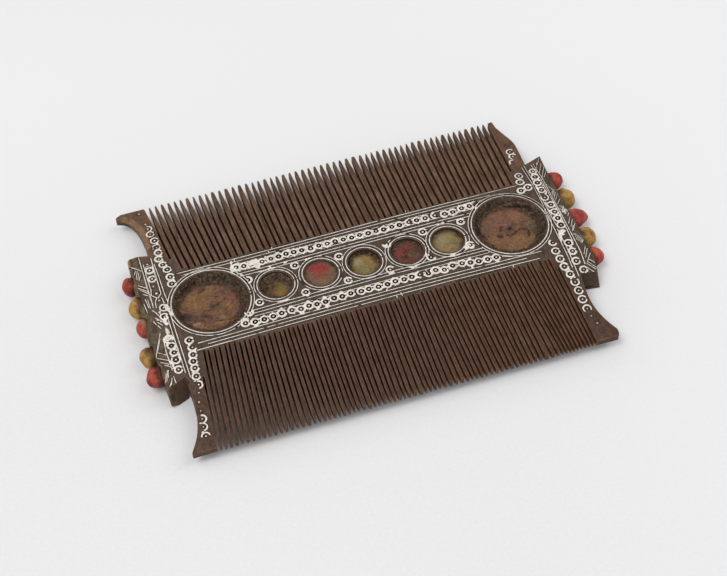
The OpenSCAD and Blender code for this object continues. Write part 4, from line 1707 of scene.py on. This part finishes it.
# The left and the right large recess
PUTTY_FORMS = (
    PuttyForm(1.7, ring=2.3, lean=15.0, extra=1.6, cracks=(
        ((1.5, -0.7), (0.4, -0.6), (-0.2, -1.8), (-1.2, -2.4), (-3.4, -2.4), (-5.0, -3.9)),
        ((1.5, -0.7), (4.2, 0.3), (5.6, 1.6)), ((4.6, -3.7), (8.2, -0.4)),
        ((-3.6, 6.9), (-2.0, 7.3), (-1.0, 8.2)), ((-0.8, 10.1), (2.0, 9.9), (4.4, 9.3)),
        ((-9.0, -6.2), (-6.4, -5.8), (-4.0, -6.8)), ((-0.4, -8.1), (3.8, -8.9), (6.4, -8.4)),
        ((-11.0, 6.8), (-9.0, 8.6), (-6.8, 10.6), (-3.6, 12.0)), ((-13.0, 1.2), (-11.6, -2.2)),
        ((-5.4, -4.4), (-2.4, -4.7)), ((2.6, 3.4), (3.6, 2.4))),
        ridges=(((-12.0, 0.6), (-9.8, -1.0), (-8.6, -1.8)), ((-8.6, -7.6), (-6.4, -7.4)),
                ((6.0, -2.0), (7.4, -0.6)), ((0.0, -8.8), (6.0, -9.8)), ((1.0, -0.2), (1.6, 0.0)))),
    PuttyForm(4.2, ring=2.3, lean=20.0, extra=1.4, crack_tint=0.72, cracks=(
        ((-2.6, -3.0), (-0.8, -3.5), (1.0, -3.3), (2.0, -2.3), (3.0, -1.8), (5.0, -2.0),
         (6.8, -3.3)),
        ((-5.8, -2.4), (-4.2, -3.4)), ((-11.8, 5.8), (-11.9, 1.0), (-10.4, -2.6)),
        ((2.0, 11.0), (6.0, 9.8), (8.8, 8.4), (10.6, 5.6)), ((-2.6, 1.6), (-3.6, -0.2)),
        ((6.8, -3.3), (6.0, -5.6)), ((8.8, -7.0), (11.4, -6.2))),
        ridges=(((2.8, 11.0), (5.6, 10.7)), ((-1.4, 1.9), (-0.6, 1.8)), ((0.2, 1.6), (1.0, 1.5)),
                ((3.8, 2.2), (4.4, 2.2)), ((7.0, -0.8), (8.4, 0.4)), ((-3.8, -9.4), (-2.8, -10.8))),
        pits=((-0.2, -0.35, 0.5),)))
PUTTY_SPOTS: tuple[tuple[Spot, ...], ...] = (
    ((0.6, -0.8, 1.7, srgb(82, 64, 56)), (-9.6, -3.6, 2.2, srgb(60, 50, 44)),
     (-5.6, 2.6, 3.6, srgb(128, 94, 62)), (5.8, -2.6, 1.4, srgb(134, 100, 60)),
     (2.4, -7.0, 0.9, srgb(130, 106, 82)), (8.4, 1.0, 2.4, srgb(112, 74, 62)),
     (-7.6, -7.4, 1.5, srgb(132, 98, 80)), (-1.8, 7.9, 1.6, srgb(88, 58, 48)),
     (-1.0, 5.6, 2.4, srgb(126, 90, 62)), (-7.6, -4.2, 1.4, srgb(84, 58, 50)),
     (-13.0, 4.0, 2.4, srgb(90, 68, 42)), (-12.0, -2.4, 1.4, srgb(40, 32, 27))),
    # The near-black spot at (-0.2, -0.35) is painted shade in the pit at the middle of the right
    # recess.
    ((-0.4, -0.4, 2.1, srgb(88, 70, 60)), (-0.2, -0.35, 0.8, srgb(14, 8, 6)),
     (8.4, -1.2, 2.0, srgb(94, 83, 68)), (1.6, -8.2, 4.0, srgb(132, 98, 66)),
     (12.2, 4.0, 2.0, srgb(96, 56, 42)), (-3.4, 4.6, 4.0, srgb(120, 86, 68)),
     (-4.8, -3.0, 1.2, srgb(82, 54, 47)), (4.0, 5.4, 2.6, srgb(128, 90, 68)),
     (-10.0, 2.4, 1.8, srgb(104, 82, 72)), (9.2, 7.0, 1.6, srgb(94, 78, 68)),
     (9.6, -4.6, 2.4, srgb(78, 66, 46))))
# Places along the curved crack of the fourth fill
DARK_RED_CRACK: tuple[Point, ...] = (
    (-1.1, 0.4), (-0.2, 1.0), (0.9, 1.1), (2.0, 0.8), (2.9, 0.1), (0.2, -1.9))
INLAYS = (
    Inlay("residue", InlayForm(2.1, 0.5, 0.5, 0.5, bank=0.9, tilt=(0.0, -0.1)),
          (srgb(96, 72, 44), srgb(70, 50, 33), srgb(112, 88, 48)),
          rim=srgb(60, 44, 28), rim_at=3.9, rim_lean=(0.9, -1.6), spots=(
              (-1.1, 0.5, 0.8, srgb(70, 34, 30)), (1.3, -3.0, 1.7, srgb(128, 98, 50)),
              (4.6, 0.4, 1.4, srgb(90, 62, 50)), (-2.6, -3.6, 1.0, srgb(96, 70, 52)),
              (1.6, -0.4, 1.4, srgb(106, 92, 52)), (-4.6, 0.6, 0.4, srgb(120, 106, 86)))),
    Inlay("red", InlayForm(3.4, 0.95, 0.9, 0.3, bank=0.35, tilt=(0.0, 0.12)),
          (srgb(112, 84, 67), srgb(102, 78, 60), srgb(122, 96, 73)),
          rim=srgb(72, 58, 46), rim_at=5.5, rim_lean=(0.1, -0.1), spots=(
              (0.0, 0.8, 3.1, srgb(124, 68, 57)), (0.1, 3.5, 2.2, srgb(142, 48, 46)),
              (2.5, 3.0, 1.7, srgb(137, 54, 50)), (-2.5, 3.5, 1.8, srgb(137, 52, 50)),
              (0.4, -3.8, 1.8, srgb(120, 92, 67)))),
    Inlay("ochre", InlayForm(5.6, 0.5, 1.5, 0.25, shoulder=0.14),
          (srgb(124, 106, 68), srgb(110, 92, 58), srgb(134, 118, 80)),
          rim=srgb(58, 42, 28), rim_at=4.9, rim_lean=(0.1, -0.5), spots=(
              (-2.4, 1.2, 1.6, srgb(148, 132, 98)), (1.9, 1.6, 1.4, srgb(136, 102, 50)),
              (1.9, -1.2, 1.1, srgb(134, 100, 48)), (4.2, 0.4, 1.3, srgb(98, 76, 54)),
              (-1.2, -2.6, 1.3, srgb(120, 108, 70)), (-3.2, 3.0, 0.7, srgb(146, 130, 96)))),
    Inlay("dark_red", InlayForm(7.7, 0.8, 0.7, 0.45, bank=0.4, hollow=(-0.6, -1.4, 1.4, 0.5)),
          (srgb(88, 58, 44), srgb(66, 46, 35), srgb(104, 76, 56)),
          rim=srgb(52, 38, 28), rim_at=5.4, rim_lean=(0.2, -0.6), spots=(
              (-1.4, 1.8, 2.5, srgb(112, 52, 45)), (1.4, 2.4, 1.9, srgb(104, 51, 43)),
              (-3.5, 0.0, 1.2, srgb(130, 49, 48)), (-0.6, -1.5, 0.6, srgb(38, 24, 17)),
              *((x, y, 0.4, srgb(54, 30, 24)) for x, y in DARK_RED_CRACK),
              (-0.4, -3.8, 1.6, srgb(104, 54, 40)), (2.4, -0.2, 1.5, srgb(84, 62, 44)),
              (4.2, 0.2, 1.4, srgb(66, 52, 42)))),
    Inlay("pale", InlayForm(9.2, 0.9, 1.6, 0.2, shoulder=0.06),
          (srgb(126, 110, 76), srgb(112, 94, 60), srgb(136, 120, 90)),
          rim=srgb(72, 57, 40), rim_at=5.4, rim_lean=(-0.1, -0.3), spots=(
              (-1.4, 1.0, 1.9, srgb(136, 126, 96)), (-1.5, -2.6, 1.5, srgb(140, 112, 68)),
              (1.3, 2.0, 1.3, srgb(134, 118, 68)), (4.6, 1.6, 1.2, srgb(92, 74, 54)),
              (-2.6, 4.2, 1.3, srgb(124, 116, 82)), (3.0, -2.4, 1.4, srgb(112, 96, 66)))))


@dataclass
class Recesses:
    """The fills of all seven recesses."""

    large_floor: float = 9.5
    large_r: float = 14.15
    large_cells: int = 112
    small_floor: float = 9.8
    small_r: float = 6.25
    small_cells: int = 56
    floor_tones: tuple[Colour, Colour, Colour] = (
        srgb(112, 81, 60), srgb(94, 64, 52), srgb(124, 90, 63))
    # The large recesses' rim: dirty putty, made darker still as painted shade of the walls over the
    # bank.
    grime_and_shade: Colour = srgb(60, 47, 35)
    grime_and_shade_at: float = 11.3
    grime_and_shade_lean: tuple[Point, Point] = ((-1.0, -1.0), (-0.5, -0.9))

    def build(self) -> None:
        """Builds the two putty rings with their bare floors, and the five inlays."""
        for i, side in enumerate(("left", "right")):
            finish = CrustFinish(f"putty_and_floor_{side}", self.floor_tones, self.grime_and_shade,
                                 self.grime_and_shade_at, (LARGE_X[i], 0.0), 0.16, rim_soft=1.5,
                                 rim_lean=self.grime_and_shade_lean[i], contrast=1.5, grit=0.2, foot=0.75,
                                 veins=0.5, spots=PUTTY_SPOTS[i])
            form = PUTTY_FORMS[i]
            RecessFill(f"old_putty_{side}", "putty", f"putty_{side}", LARGE_X[i], self.large_r,
                       self.large_floor, finish, form.height, form.tint, self.large_cells).build()
        for i, inlay in enumerate(INLAYS):
            finish = CrustFinish(f"fill_{inlay.name}", inlay.tones, inlay.rim, inlay.rim_at,
                                 (SMALL_X[i], 0.0), 0.35, rim_soft=0.9, rim_lean=inlay.rim_lean,
                                 contrast=1.35, shine=0.6, grit=0.14, spot_soft=0.75,
                                 spots=inlay.spots)
            RecessFill(f"inlay_fill_{inlay.name}", f"inlay_{inlay.name}", f"inlay_{i + 1}",
                       SMALL_X[i], self.small_r, self.small_floor, finish, inlay.form.height,
                       cells=self.small_cells).build()


# Beads


@dataclass(frozen=True)
class Bead:
    """One bead on its peg: its place, its size and its finish.

    base is its seat's distance from the middle of the comb, out how far it stands off it, and
    power how square its shoulder is.
    """

    y: float
    base: float
    radius: float
    out: float
    power: float
    tone: Tone
    slot: str


RED_SLOT, YELLOW_SLOT = "bead_red", "bead_yellow"
# Columns of both rows, far to near: y, base, radius, out, power, finish, slot
LEFT_BEADS = (
    Bead(20.8, 85.3, 4.15, 4.8, 2.8, Tone.RED, RED_SLOT),
    Bead(9.8, 84.5, 4.3, 5.4, 2.5, Tone.YELLOW, YELLOW_SLOT),
    Bead(-0.4, 83.6, 4.2, 5.5, 2.4, Tone.TWO_TONE, RED_SLOT),
    Bead(-14.0, 85.0, 4.1, 5.7, 3.0, Tone.YELLOW_SHADED_FOOT, YELLOW_SLOT),
    Bead(-23.6, 84.3, 4.3, 6.1, 2.6, Tone.DULL_RED, RED_SLOT),
)
RIGHT_BEADS = (
    Bead(20.8, 84.4, 4.05, 6.4, 2.4, Tone.RED, RED_SLOT),
    Bead(10.3, 84.4, 4.6, 7.2, 2.6, Tone.YELLOW, YELLOW_SLOT),
    Bead(-0.4, 84.6, 4.4, 8.2, 1.6, Tone.DULL_RED, RED_SLOT),
    Bead(-10.9, 84.6, 4.4, 7.0, 2.7, Tone.YELLOW, YELLOW_SLOT),
    Bead(-20.8, 84.2, 4.15, 6.3, 2.4, Tone.RED, RED_SLOT),
)


@dataclass
class BeadRow:
    """The five beads on one end of the comb.

    A bead has the share foot of its radius at its seat, and the whole of it from the share
    swell of its height on. It is broad times as long as it is high, and is dented by up to the
    share uneven, which dies out within near_seat of its foot.
    """

    side: int
    beads: tuple[Bead, ...]
    steps: int = 48
    rings: int = 22
    uneven: float = 0.09
    foot: float = 0.84
    swell: float = 0.45
    under: float = 0.92
    under_edge: float = 0.3
    broad: float = 1.1
    gap: float = 0.05
    middle_z: float = 6.0
    near_seat: Point = (0.02, 0.3)
    dent: float = 0.012
    dent_size: float = 1.1
    soft_size: float = 3.2
    same_place: float = 0.0001

    def build(self) -> None:
        """Turns each bead, pinches it by hand and sets it on the end block."""
        word = "left" if self.side < 0 else "right"
        tones = dict.fromkeys(bead.tone for bead in self.beads)
        materials = {tone: tone.value.material() for tone in tones}
        for i, bead in enumerate(self.beads, 1):
            bm = bmesh.new()
            self._turn(bm, bead)
            self._pinch(bm, bead, i + self.side * 3.7)
            finish_piece(bm, f"{word}_bead_{i}", bead.slot, materials[bead.tone],
                         [f"bead_{word}_{i}"], 60.0)

    def _turn(self, bm: bmesh.types.BMesh, bead: Bead) -> None:
        """Spins the bead's section about its own axis, which is Z here.

        Args:
            bm: an empty mesh.
            bead: the bead.
        """
        section = [(bead.radius * max(1 - t ** bead.power, 0.0) ** 0.5
                    * (self.foot + (1 - self.foot) * smooth(t, 0.0, self.swell)), t * bead.out)
                   for t in (math.sin(math.pi / 2 * k / self.rings) for k in range(self.rings + 1))]
        section = [(0.0, 0.0), (bead.radius * self.foot * self.under, 0.0)] + \
            [p for p in section if p[1] > self.under_edge]
        verts = [bm.verts.new((r, 0, z)) for r, z in section]
        edges = [bm.edges.new(pair) for pair in zip(verts, verts[1:])]
        bmesh.ops.spin(bm, geom=verts + edges, cent=(0, 0, 0), axis=(0, 0, 1),
                       angle=math.tau, steps=self.steps, use_merge=True)
        bmesh.ops.remove_doubles(bm, verts=list(bm.verts), dist=self.same_place)
        bmesh.ops.recalc_face_normals(bm, faces=list(bm.faces))

    def _pinch(self, bm: bmesh.types.BMesh, bead: Bead, seed: float) -> None:
        """Makes the bead uneven, never larger, and moves it to its seat on the comb.

        Args:
            bm: the bead as turned.
            bead: its sizes.
            seed: picks its dents.
        """
        for vert in bm.verts:
            co = vert.co
            t = co.z / bead.out
            soft, dent = (noise.noise(Vector((co.x / size, co.y / size, co.z / size + shift)))
                          for size, shift in ((self.soft_size, seed), (self.dent_size, seed * 2)))
            free = smooth(t, *self.near_seat)
            keep = 1 - free * (self.uneven * (0.75 + 0.9 * soft) + self.dent * max(dent, 0))
            co.x, co.y, co.z = co.x * keep, co.y * keep * self.broad, co.z * min(keep + 0.05, 1.0)
        turn = Matrix.Rotation(self.side * math.pi / 2, 4, "Y")
        place = Matrix.Translation(((self.side * (bead.base + self.gap) - MID_X), bead.y - MID_Y,
                                    self.middle_z))
        bmesh.ops.transform(bm, matrix=Matrix.Scale(MM, 4) @ place @ turn, verts=list(bm.verts))


# Studio


@dataclass
class Studio:
    """Pale floor, soft panels all round, most from the left, and the photograph's camera.

    Each panel is given by its azimuth from the right and its elevation in degrees, its size in
    metres and its power in watts.
    """

    camera_at: tuple[float, float, float] = (-98.95, -332.55, 430.2)
    azimuth: float = -16.32
    elevation: float = 51.34
    roll: float = -1.69
    focal_px: float = 1427.7
    sensor: float = 36.0
    frame_px: int = 727
    floor_half: float = 3.0
    floor_gap: float = 0.03
    panel_away: float = 2.6
    panels: tuple[tuple[float, float, float, float], ...] = (
        (210, 65, 1.1, 26.0), (330, 65, 1.1, 8.2), (150, 65, 1.1, 4.6), (0, 42, 1.3, 8.7),
        (240, 42, 1.3, 8.2), (135, 20, 1.5, 5.0))
    room: float = 0.38
    paper: tuple[Colour, Colour] = (srgb(227, 227, 228), srgb(231, 231, 231))
    # painted light on the paper, far off and to the right
    paper_far_lit: Colour = srgb(235, 235, 235)
    paper_right_lit: Colour = srgb(240, 240, 240)

    def build(self) -> None:
        """Sets up the camera, the floor and the lights."""
        self._camera()
        self._floor()
        self._lights()
        bpy.context.scene.view_settings.view_transform = "Standard"

    def _camera(self) -> None:
        """Stands the camera where the photograph was taken from."""
        az, el, roll = (math.radians(a) for a in (self.azimuth, self.elevation, self.roll))
        back = Vector((math.sin(az) * math.cos(el), -math.cos(az) * math.cos(el), math.sin(el)))
        right = Vector((0, 0, 1)).cross(back).normalized()
        up = back.cross(right)
        right, up = right * math.cos(roll) + up * math.sin(roll), \
            up * math.cos(roll) - right * math.sin(roll)
        data = bpy.data.cameras.new("photo_camera")
        data.sensor_width = self.sensor
        data.lens = self.sensor * self.focal_px / self.frame_px
        data.clip_start, data.clip_end = 0.01, 20.0
        camera = bpy.data.objects.new("photo_camera", data)
        camera.matrix_world = Matrix.Translation(Vector(self.camera_at) * MM) @ \
            Matrix((right, up, back)).transposed().to_4x4()
        bpy.context.scene.collection.objects.link(camera)
        bpy.context.scene.camera = camera

    def _floor(self) -> None:
        """Lays the pale paper that the comb lies on, with painted light making it lighter far off
        and to the right.
        """
        bm = bmesh.new()
        bmesh.ops.create_grid(bm, x_segments=8, y_segments=8, size=self.floor_half)
        bmesh.ops.translate(bm, verts=list(bm.verts), vec=(0, 0, -self.floor_gap * MM))
        mesh = bpy.data.meshes.new("paper_floor")
        bm.to_mesh(mesh)
        bm.free()
        g = Graph("pale_paper")
        tooth = g.cloud((0.8, 0.8, 0.8), shift=2.0)
        colour = g.ramp(tooth, (0.3, self.paper[0]), (0.7, self.paper[1]))
        # Painted light: the paper is lighter towards the far side and the right, as the lamps light
        # it.
        colour = g.blend(colour, self.paper_far_lit, g.step(g.axis("Y"), -40.0, 170.0))
        colour = g.blend(colour, self.paper_right_lit, g.step(g.axis("X"), 0.0, 200.0) * 0.6)
        mesh.materials.append(g.finish(colour, 0.9, [(tooth, 0.02)], Specular_IOR_Level=0.2))
        floor = bpy.data.objects.new("paper_floor", mesh)
        bpy.context.scene.collection.objects.link(floor)

    def _lights(self) -> None:
        """Hangs the panels round the table in a white room."""
        for k, (azimuth, elevation, size, power) in enumerate(self.panels, 1):
            self._panel(f"panel_{k}", math.radians(azimuth), math.radians(elevation), size, power)
        world = bpy.data.worlds.new("white_room")
        bpy.context.scene.world = world
        world.use_nodes = True
        shade = world.node_tree.nodes["Background"]
        shade.inputs["Color"].default_value = (1.0, 1.0, 1.0, 1.0)
        shade.inputs["Strength"].default_value = self.room

    def _panel(self, name: str, azimuth: float, elevation: float, size: float,
               power: float) -> None:
        """Hangs one square panel that faces the comb.

        Args:
            name: the lamp's name.
            azimuth: its direction from the right, in radians.
            elevation: its height over the floor, in radians.
            size: its side in metres.
            power: its power in watts.
        """
        data = bpy.data.lights.new(name, "AREA")
        data.shape, data.size, data.energy = "SQUARE", size, power
        lamp = bpy.data.objects.new(name, data)
        lamp.location = Vector((math.cos(azimuth) * math.cos(elevation),
                                math.sin(azimuth) * math.cos(elevation),
                                math.sin(elevation))) * self.panel_away
        lamp.rotation_euler = lamp.location.to_track_quat("Z", "Y").to_euler()
        bpy.context.scene.collection.objects.link(lamp)


def main() -> None:
    """Builds every piece in order."""
    logging.basicConfig(level=logging.INFO, format="%(name)s: %(message)s")
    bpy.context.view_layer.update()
    Studio().build()
    Ornament(TopFace(carved=CombBody().build(WoodFinish()))).build(PasteFinish())
    Recesses().build()
    BeadRow(-1, LEFT_BEADS).build()
    BeadRow(1, RIGHT_BEADS).build()


if __name__ == "__main__":
    main()
